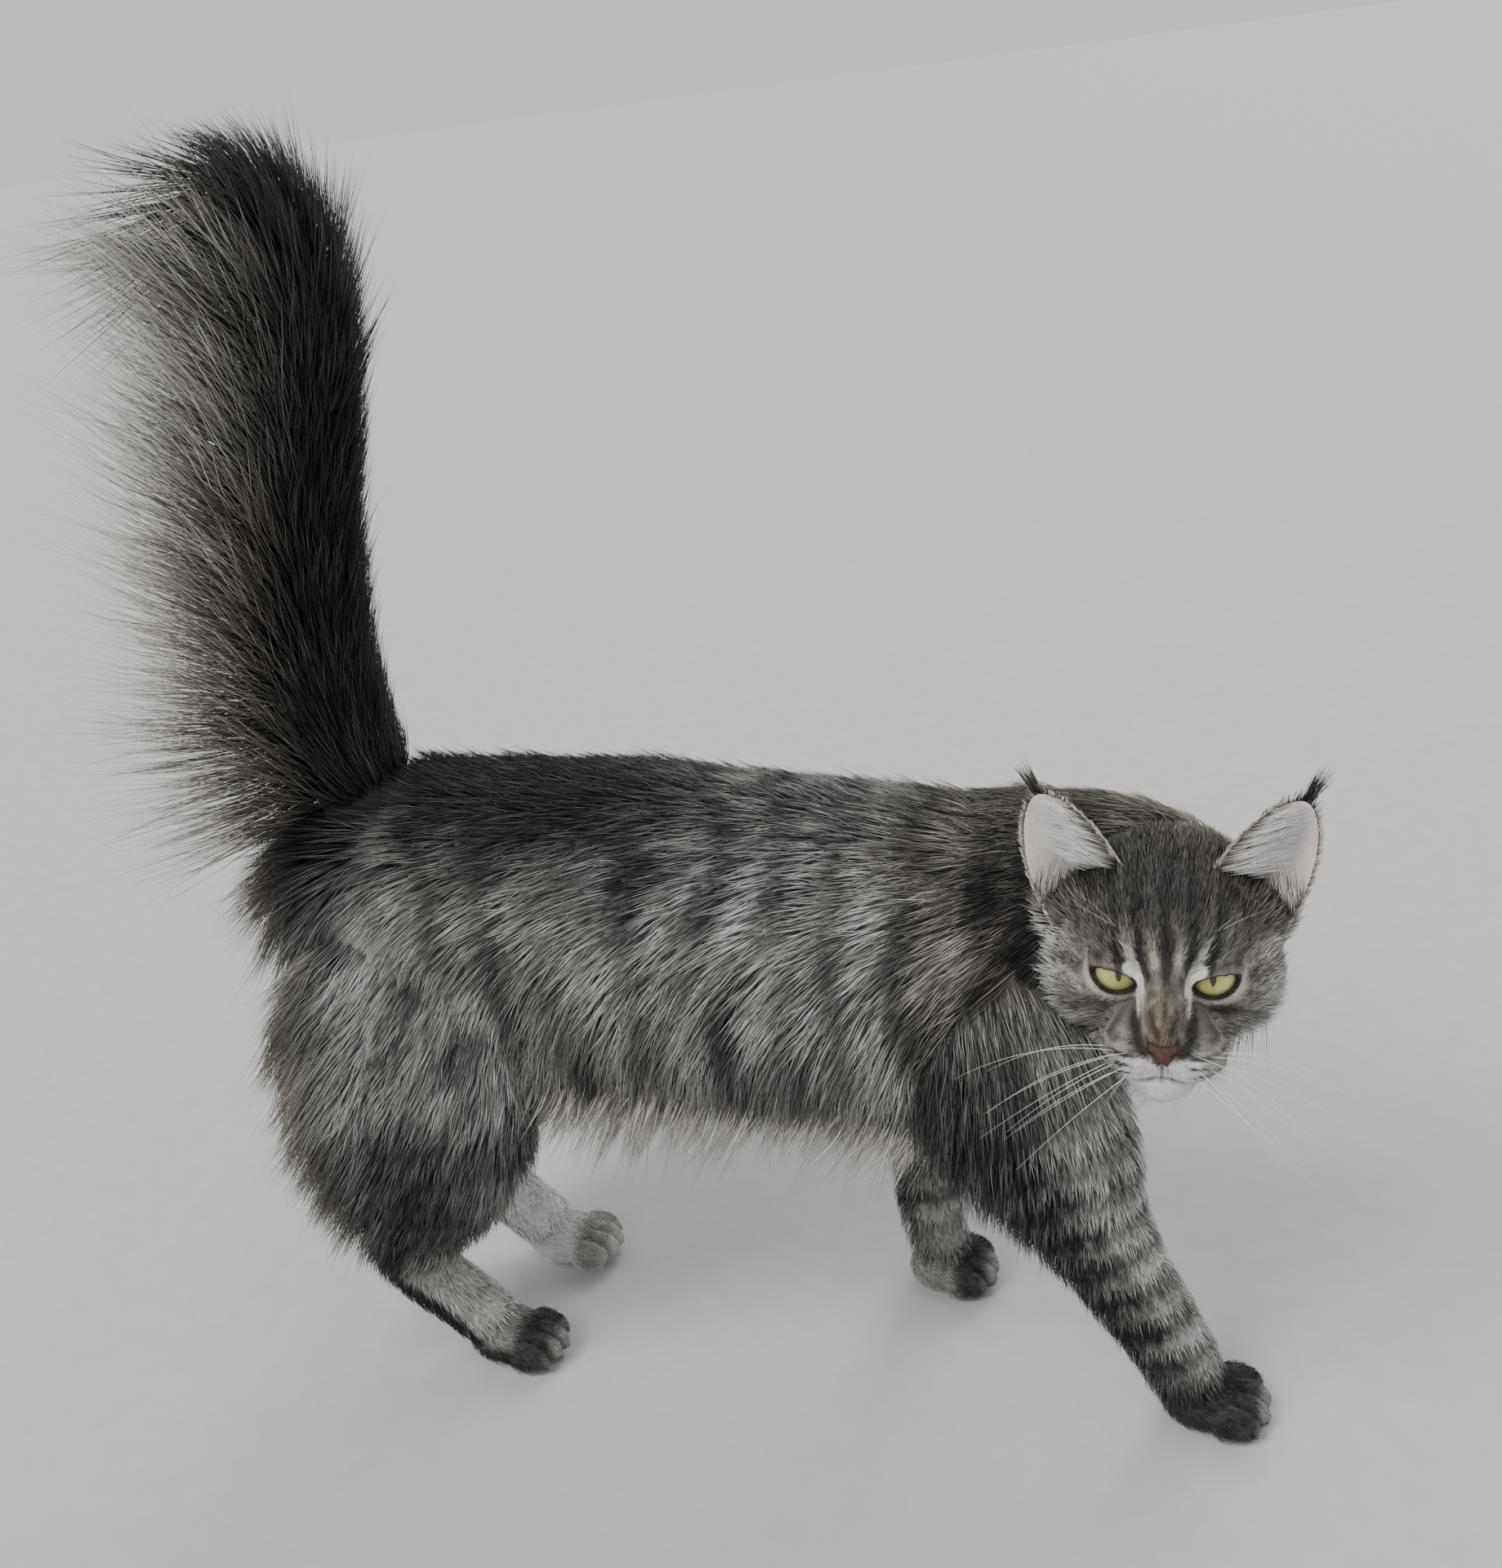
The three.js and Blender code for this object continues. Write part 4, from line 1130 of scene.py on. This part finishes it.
def trunk_coat():
    near = [THIGH_RIGHT, THIGH_LEFT, FORE_RIGHT, FORE_LEFT, NECK, TAIL]
    t, angle, p, n, _ = loft_roots(TRUNK, HAIRS["trunk"], near, 0.93)
    high = np.sin(angle)
    below = smooth(0.95, -0.7, high)
    rear = smooth(0.14, 0.02, t)
    back = stacked(-1 + 0.74 * below, 0, -0.3 - 1.15 * below)
    back += 0.35 * ruffle(p, 22, 51)
    length = spread(21 + 17 * below + 14 * smooth(-0.75, -1, high) + 28 * rear)
    lift = np.radians(11 + 8 * below + 6 * smooth(0.7, 1, high) + 12 * rear)
    tone, warmth = trunk_marks(p)
    fringe = smooth(-0.7, -0.9, high)
    tone = over(tone, fringe, 0.8 + 0.2 * jitter(p, 16, 54))
    warmth = over(warmth, fringe, 0.5)
    uv = chart(angle, t)
    share = len(t) // 3 + 1
    for k in range(3):
        part = slice(k * share, (k + 1) * share)
        hairs(f"coat_trunk_{k}", p[part], n[part], back[part], length[part], lift[part],
              0.85, uv[part], (tone[part], warmth[part]), droop=0.05 * below[part],
              curl=0.06, cell=9)


def rump_coat():
    """Long hair over the trunk's blunt rear end, below the tail."""
    count = fewer(HAIRS["rump"])
    angle = rng.random(count) * TURN
    out = np.sqrt(rng.random(count)) * 0.98
    centre, along, across, upward = (v[0] for v in TRUNK.frame(np.zeros(1)))
    w, h = TRUNK.size(np.zeros(1))[0]
    round_way = across * (np.cos(angle) * out)[:, None] + upward * (np.sin(angle) * out)[:, None]
    flat = across * (w * np.cos(angle) * out)[:, None] + upward * (h * np.sin(angle) * out)[:, None]
    p = centre + flat - along * (0.35 * h * (1 - out**2))[:, None]
    n = unit(round_way * 0.8 - along)
    way = np.tile(np.array([-0.35, 0, -1.0]), (count, 1)) + 0.35 * round_way
    length = 62 * rng.uniform(0.55, 1.05, count)
    tone = 0.2 + 0.12 * jitter(p, 9, 75)
    uv = chart(angle, 0.5 * out)
    hairs("coat_rump", p, n, way, length, math.radians(34), 0.8, uv, (tone, tone * 0 + 0.4), droop=0.12,
          curl=0.08, cell=9, tip=tone + 0.25)


def belly_coat():
    """Pale fringe that hangs below the belly."""
    near = [THIGH_RIGHT, THIGH_LEFT, FORE_RIGHT, FORE_LEFT]
    t, angle, p, n, _ = loft_roots(TRUNK, HAIRS["belly"], near, 0.95)
    under = (np.sin(angle) < -0.62) & (t > 0.12)
    t, angle, p, n = (v[under] for v in (t, angle, p, n))
    way = stacked(-0.5 + 0.5 * jitter(p, 25, 56), 0.3 * np.cos(angle), -1)
    length = 54 * rng.uniform(0.5, 1.08, len(t)) * (0.7 + 0.6 * noise(p * (1, 1, 0), 19, 57))
    tone = 0.66 + 0.24 * jitter(p, 9, 58)
    uv = chart(angle, t)
    way = unit(way)
    lean = np.sum(way * n, 1)
    lift = np.clip(np.arcsin(np.clip(lean, -0.9, 0.9)), math.radians(22), math.radians(62))
    hairs("coat_belly", p, n, way, length, lift, 0.95, uv, (tone, tone * 0 + 0.3), droop=0.05,
          curl=0.06, cell=9, tip=tone + 0.14)


def neck_coat():
    near = [TRUNK, FORE_RIGHT, FORE_LEFT]
    t, angle, p, n, _ = loft_roots(NECK, HAIRS["neck"], near, 0.9)
    inside_head = blob_distance(cat_to_head(p), HEAD_MASSES, HEAD_BLEND) < -2
    t, angle, p, n = (v[~inside_head] for v in (t, angle, p, n))
    high = np.sin(angle)
    below = smooth(0.6, -0.8, high)
    back = stacked(-0.9 + 0.8 * below, 0, -0.35 - 1.0 * below)
    back += 0.3 * ruffle(p, 20, 61)
    front = smooth(142, 165, p[:, 0])
    length = spread(21 + 27 * below + 8 * front * below)
    lift = np.radians(12 + 9 * below + 10 * front * below)
    uv = chart(angle, t)
    hairs("coat_neck", p, n, back, length, lift, 0.8, uv, neck_marks(p), droop=0.05 * below,
          curl=0.06, cell=9)


def thigh_coat(name):
    t, angle, p, n, _ = loft_roots(LOFTS[name], HAIRS[name], [TRUNK], 0.93)
    behind = smooth(0.2, -0.9, np.sin(angle))
    back = stacked(-0.55 - 0.2 * behind, 0, -1)
    back += 0.3 * ruffle(p, 22, 71)
    low = smooth(0.5, 1, t)
    length = spread(23 + 28 * behind - 9 * low)
    lift = np.radians(10 + 16 * behind)
    uv = chart(angle, t)
    tone, warmth = thigh_marks(p)
    hairs(f"coat_{name}", p, n, back, length, lift, 0.8, uv, (tone, warmth), droop=0.06 * behind,
          curl=0.06, cell=8, tip=tone + 0.14 * behind)


def fore_coat(name):
    t, angle, p, n, along = loft_roots(LOFTS[name], HAIRS[name], [TRUNK], 0.93)
    behind = smooth(0.1, -0.8, np.sin(angle))
    high_up = smooth(0.62, 0.1, t)
    back = stacked(-0.45 * behind - 0.2, 0, -1)
    back = unit(back + 1.2 * along)
    length = spread(9 + 10 * high_up + 6 * behind + 20 * high_up * behind)
    lift = np.radians(9 + 12 * behind * high_up + 5 * behind)
    uv = chart(angle, t)
    width = 0.6 + 0.2 * high_up
    hairs(f"coat_{name}", p, n, back, length, lift, width, uv, MARKS[name](p), cell=5, pull=0.35, sink=1.0)


def shank_coat(name):
    t, angle, p, n, along = loft_roots(LOFTS[name], HAIRS[name], [THIGH_RIGHT, THIGH_LEFT], 0.9)
    behind = smooth(0.1, -0.8, np.sin(angle))
    length = spread(8 + 12 * smooth(0.5, 0.0, t) + 4 * behind)
    uv = chart(angle, t)
    way = along + np.array([-0.25, 0, -0.4])
    hairs(f"coat_{name}", p, n, way, length, math.radians(11), 0.6, uv, MARKS[name](p), cell=5, pull=0.3,
          sink=1.0)


def paw_coat(name):
    paw = PAWS[name]
    count = fewer(HAIRS["paw"])
    polar = np.arccos(rng.uniform(-0.35, 1, count))
    turn = rng.random(count) * TURN
    local = march(paw.distance, paw.origin, paw.ways(polar, turn), 60)
    normal = surface_normal(paw.distance, local)
    keep = (local[:, 2] > 2.2) & (normal[:, 2] > -0.55)
    local, normal, polar, turn = (v[keep] for v in (local, normal, polar, turn))
    drop = -0.35 - 0.5 * (local[:, 0] > paw.length * 0.75)
    way = stacked(1, 0, drop)
    length = spread(5.0 - 2.4 * smooth(0.5, 0.85, local[:, 0] / paw.length))
    p = paw.to_cat(local)
    uv = chart(turn, polar / math.pi)
    hairs(f"coat_paw_{name}", p, normal @ paw.turn.T, way @ paw.turn.T, length, math.radians(12), 0.5, uv,
          paw_marks(p, name), cell=3, pull=0.3, sink=0.6, speck=0.7)


def tail_coat():
    t, angle, p, n, along = loft_roots(TAIL, HAIRS["tail"], [TRUNK], 1.0)
    # the rear of the tail grows more and longer hair
    rear = 0.5 - 0.5 * np.sin(angle)
    keep = rng.random(len(t)) < 0.45 + 0.55 * rear
    t, angle, p, n, along, rear = (v[keep] for v in (t, angle, p, n, along, rear))
    fringe = smooth(0.15, 0.95, rear)
    base = smooth(0.35, 0.02, t)
    full = 34 + (72 + 32 * np.sin(math.pi * t)) * fringe
    length = full * rng.uniform(0.6, 1.08, len(t))
    lift = np.radians(19 + 36 * fringe + 28 * base * fringe)
    tone, warmth = tail_marks(p)
    # painted light: the rear fringe is made paler, and its tips much paler, to stand for light shining
    # through the thin hair
    pale = smooth(0.35, 0.85, rear) * smooth(1.02, 0.85, t)
    tone = tone + 0.22 * pale
    tip = tone + 0.58 * pale * (0.75 + 0.5 * rng.random(len(t)))
    width = 0.75 + 0.35 * fringe
    warmth = warmth + 0.3 * fringe * smooth(0.6, 0.1, t)
    uv = chart(angle, t)
    share = len(t) // 2 + 1
    for k in range(2):
        part = slice(k * share, (k + 1) * share)
        hairs(f"coat_tail_{k}", p[part], n[part], along[part], length[part], lift[part], width[part],
              uv[part], (tone[part], warmth[part]), droop=0.22 * fringe[part], curl=0.05, cell=8, pull=0.2,
              steps=3, stray=0.07, tip=tip[part])


def head_coat():
    count = fewer(HAIRS["head"])
    polar = math.pi * rng.random(count) ** 1.2
    keep = rng.random(count) < 0.25 + 0.75 * np.sin(polar)
    polar = polar[keep]
    turn = rng.random(len(polar)) * TURN
    q = march(head_distance, np.array([0.0, 10, 0]), head_ways(polar, turn), 100)
    normal = surface_normal(head_distance, q, 0.8)
    bare = leather_reach(q) < 0.3
    bare |= mouth_distance(q) < 0.8
    for side in (1, -1):
        share, front = lid_share(q, side)
        bare |= (share < 1.22) & (front > 0)
    in_neck = NECK.depth(head_to_cat(q)) < 0.68
    keep = ~(bare | in_neck)
    q, normal, polar, turn = (v[keep] for v in (q, normal, polar, turn))
    x, y, z = q.T
    ax = np.abs(x)
    away = unit(q - NOSE_TIP)
    way = away + np.array([0, 0, -0.25]) * smooth(0, -30, z)[:, None]
    way += stacked(0.5 * np.sign(x) * smooth(4, 20, ax), 0, 0) * smooth(10, -10, z)[:, None]
    face = smooth(20, 62, y)
    ruff = np.where(x > 0, smooth(30, 6, y) * smooth(22, 36, ax), smooth(14, -14, y)) * smooth(26, 4, z)
    throat = smooth(-12, -34, z) * smooth(44, 20, y)
    way += np.array([0, -0.3, -0.9]) * throat[:, None]
    length = 11 - 8 * face + 19 * ruff + 14 * throat
    length = np.where(z > 25, np.minimum(length, 9), length)
    near_eye = np.minimum(*(lid_share(q, s)[0] for s in (1, -1)))
    length = np.minimum(length, 1.6 + 3.2 * np.maximum(near_eye - 1.1, 0))
    length = spread(length)
    lift = np.radians(10 + (16 + 18 * smooth(20, 40, x)) * ruff - 3 * face + 8 * throat)
    width = 0.34 + 0.45 * smooth(45, 5, y)
    p = head_to_cat(q)
    uv = chart(turn, polar / math.pi)
    half = len(q) // 2
    tone, warmth = head_marks(p)
    tip = tone + 0.16 * ruff
    for k in range(2):
        part = slice(k * half, (k + 1) * half)
        hairs(f"coat_head_{k}", p[part], normal[part] @ HEAD_TURN.T, way[part] @ HEAD_TURN.T, length[part],
              lift[part], width[part], uv[part], (tone[part], warmth[part]), cell=3.5, pull=0.3, sink=0.5,
              root_lift=lift[part] + 0.25, speck=0.8, tip=tip[part])


def ear_coat():
    rows = []

    def add(side, u, v, inward, way, length, tone, lift, width):
        middle, opening, upward, across = ear_place(side, u, v)
        out = opening if inward else -opening
        many = len(u)
        rows.append((
            head_to_cat(middle + out * 0.8),
            np.tile(out @ HEAD_TURN.T, (many, 1)),
            way(upward, across, u) @ HEAD_TURN.T,
            spread(length + np.zeros(many)),
            np.full(many, lift),
            np.full(many, width),
            stacked(0.25 + 0.2 * u + (0.5 if side > 0 else 0), 0.05 + 0.9 * v),
            np.full(many, tone),
        ))

    def up_way(upward, across, u):
        return upward + across * (0.3 * u)[:, None]

    def cross_way(upward, across, u):
        return upward * 0.9 - across * (np.sign(u) * 0.75)[:, None]

    for side in (1, -1):
        # back, rim, long hair across the opening, tufts at the outer base and the tip
        k = fewer(1300)
        u, v = rng.uniform(-1, 1, k), rng.random(k) ** 1.2 * 0.97
        add(side, 0.93 * u, v, False, up_way, 5.0, 0.32, 0.1, 0.5)
        k = fewer(450)
        u, v = np.sign(rng.uniform(-1, 1, k)) * rng.uniform(0.95, 1.0, k), rng.random(k) * 0.96
        add(side, u, v, True, up_way, 3.2, 0.74, 0.12, 0.4)
        k = fewer(650)
        u, v = -side * rng.uniform(0.3, 0.98, k), rng.random(k) * 0.75
        add(side, u, v, True, cross_way, 30 * (1 - 0.65 * v), 0.98, 0.16, 0.36)
        k = fewer(220)
        u, v = side * rng.uniform(0.5, 0.98, k), rng.random(k) * 0.25
        add(side, u, v, True, cross_way, 16.0, 0.78, 0.25, 0.4)
        k = fewer(60) + 10
        u, v = rng.uniform(-0.5, 0.5, k), 0.96 + 0.03 * rng.random(k)
        add(side, u, v, False, up_way, 16.0, 0.2, 0.0, 0.4)
    *given, tone = (np.concatenate(v) for v in zip(*rows))
    hairs("coat_ears", *given, (tone, np.full(len(tone), 0.35)), cell=5, pull=0.25, sink=0.3, curl=0.03)


# Eyes and whiskers


def build_eyes():
    material = eye_material()
    for name, side in (("eye_right", 1), ("eye_left", -1)):
        rows, columns = 48, 72
        polar, turn = polar_rows(rows, columns)
        ball = stacked(np.sin(polar) * np.cos(turn), -np.cos(polar), np.sin(polar) * np.sin(turn))
        points = ball * (EYE_RADIUS - 0.15) / 1000
        faces = capped_faces(rows - 1, columns)
        obj = new_mesh(f"{name}_ball", points, faces)
        centre = to_frame(head_to_cat(EYES[side]))
        gaze = unit(np.array([0.06, -1.0, 0.16]))
        right = unit(np.cross((0, 0, 1.0), -gaze))
        up = np.cross(-gaze, right)
        turn_matrix = Matrix([list(right), list(-gaze), list(up)]).transposed().to_4x4()
        obj.matrix_world = Matrix.Translation(Vector(centre)) @ turn_matrix
        obj.data.materials.append(material)
        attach(obj, "root")
        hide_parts(name)


def whisker(root, way, length, bend, width):
    """One tapered closed tube."""
    steps, sides = 12, 6
    s = np.linspace(0, 1, steps)
    way = unit(way)
    path = root + way * (length * s)[:, None] + bend * (length * s**2)[:, None]
    ahead = unit(np.gradient(path, axis=0))
    a = unit(np.cross(ahead, (0.3, 0.2, 1.0)))
    b = np.cross(ahead, a)
    radius = 0.5 * width * (1 - 0.85 * s)
    turn = np.linspace(0, TURN, sides, endpoint=False)
    rings = (
        path[:, None]
        + a[:, None] * (radius[:, None] * np.cos(turn))[:, :, None]
        + b[:, None] * (radius[:, None] * np.sin(turn))[:, :, None]
    ).reshape(-1, 3)
    points = np.vstack([rings, path[:1], path[-1:] + ahead[-1:] * 0.5])
    return points, capped_faces(steps, sides)


def build_whiskers():
    parts = []

    def grow(start, aim, out, length, bend, width):
        start = np.array(start, float)
        root = march(head_distance, start, unit(np.array([aim]) - start), 90)[0]
        parts.append(whisker(root, out, length, np.array(bend), width))

    for side in (1, -1):
        for row, k in np.ndindex(3, 3):
            aim = (side * (11.5 + 4.4 * k), 60.0 - 0.6 * k * k, -15.0 - 4.8 * row - 0.5 * k)
            out = np.array([side * (1.0 + 0.1 * k), 0.62 - 0.25 * k, 0.16 - 0.42 * row])
            length = rng.uniform(48, 72) * (1 - 0.05 * row)
            out = out + rng.normal(0, 0.08, 3)
            grow((0, 20, -16), aim, out, length, (side * 0.02, -0.25, -0.55 + 0.12 * row), 0.3)
        for k in range(2):
            aim = (side * (17.0 + 3 * k), 34.0, 22 + 1.5 * k)
            out = np.array([side * (0.35 + 0.3 * k), 0.6, 0.9])
            grow((0, 10, 0), aim, out, rng.uniform(20, 28), (side * 0.15, -0.15, -0.1), 0.18)
    placed = [(to_frame(np.clip(head_to_cat(p), COAT_LOW, COAT_HIGH)), f) for p, f in parts]
    obj = joined("whiskers", placed)
    obj.data.materials.append(plain_material("whisker", (0.86, 0.85, 0.82), 0.35))
    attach(obj, "root")


# Stage

CAMERA_PLACE = np.array([217.32, -685.79, 660.0])
CAMERA_RIGHT = np.array([0.96099, 0.24635, -0.12576])
CAMERA_UP = np.array([0.01027, 0.42256, 0.90628])
CAMERA_FORWARD = np.array([-0.2764, 0.87221, -0.40355])
FRAME_LONG_SIDE = 1920
FOCAL_PIXELS = 2000
FLOOR_HALF_SIZE = 40.0


def build_stage():
    corners = FLOOR_HALF_SIZE * np.array([[-1, -1, 0], [1, -1, 0], [1, 1, 0], [-1, 1, 0]])
    floor = new_mesh("floor", corners, np.array([[0, 1, 2], [0, 2, 3]]))
    floor.data.materials.append(plain_material("floor", (0.533, 0.528, 0.516), 0.8))
    world = bpy.data.worlds.new("studio")
    world.use_nodes = True
    colour, strength = world.node_tree.nodes["Background"].inputs[:2]
    colour.default_value = (0.95, 0.945, 0.93, 1)
    strength.default_value = 0.82
    bpy.context.scene.world = world
    for name, place, power, angle, colour in (
        ("key", (-1.1, -1.3, 2.0), 2.0, 30, (1.0, 0.98, 0.95)),
        ("fill", (1.8, -1.2, 1.2), 0.5, 60, (0.94, 0.97, 1.0)),
        ("rim", (0.4, 1.9, 1.7), 1.0, 30, (1.0, 0.99, 0.97)),
    ):
        lamp = bpy.data.lights.new(name, "SUN")
        lamp.energy = power
        lamp.angle = math.radians(angle)
        lamp.color = colour
        obj = linked(name, lamp)
        obj.location = place
        obj.rotation_mode = "QUATERNION"
        obj.rotation_quaternion = (-Vector(place)).to_track_quat("-Z", "Y")


def build_camera():
    data = bpy.data.cameras.new("camera")
    data.sensor_fit = "AUTO"
    data.sensor_width = 36
    data.lens = FOCAL_PIXELS / FRAME_LONG_SIDE * data.sensor_width
    data.clip_start = 0.01
    data.clip_end = 50
    camera = linked("camera", data)
    turn = Matrix([list(CAMERA_RIGHT), list(CAMERA_UP), list(-CAMERA_FORWARD)]).transposed().to_4x4()
    camera.matrix_world = Matrix.Translation(Vector(to_frame(CAMERA_PLACE))) @ turn
    bpy.context.scene.camera = camera


build_skin()
build_eyes()
trunk_coat()
rump_coat()
belly_coat()
neck_coat()
for side_name in ("right", "left"):
    thigh_coat(f"thigh_{side_name}")
for side_name in ("right", "left"):
    fore_coat(f"fore_{side_name}")
for side_name in ("right", "left"):
    shank_coat(f"shank_{side_name}")
for paw_name in PAWS:
    paw_coat(paw_name)
tail_coat()
head_coat()
ear_coat()
build_whiskers()
build_stage()
build_camera()
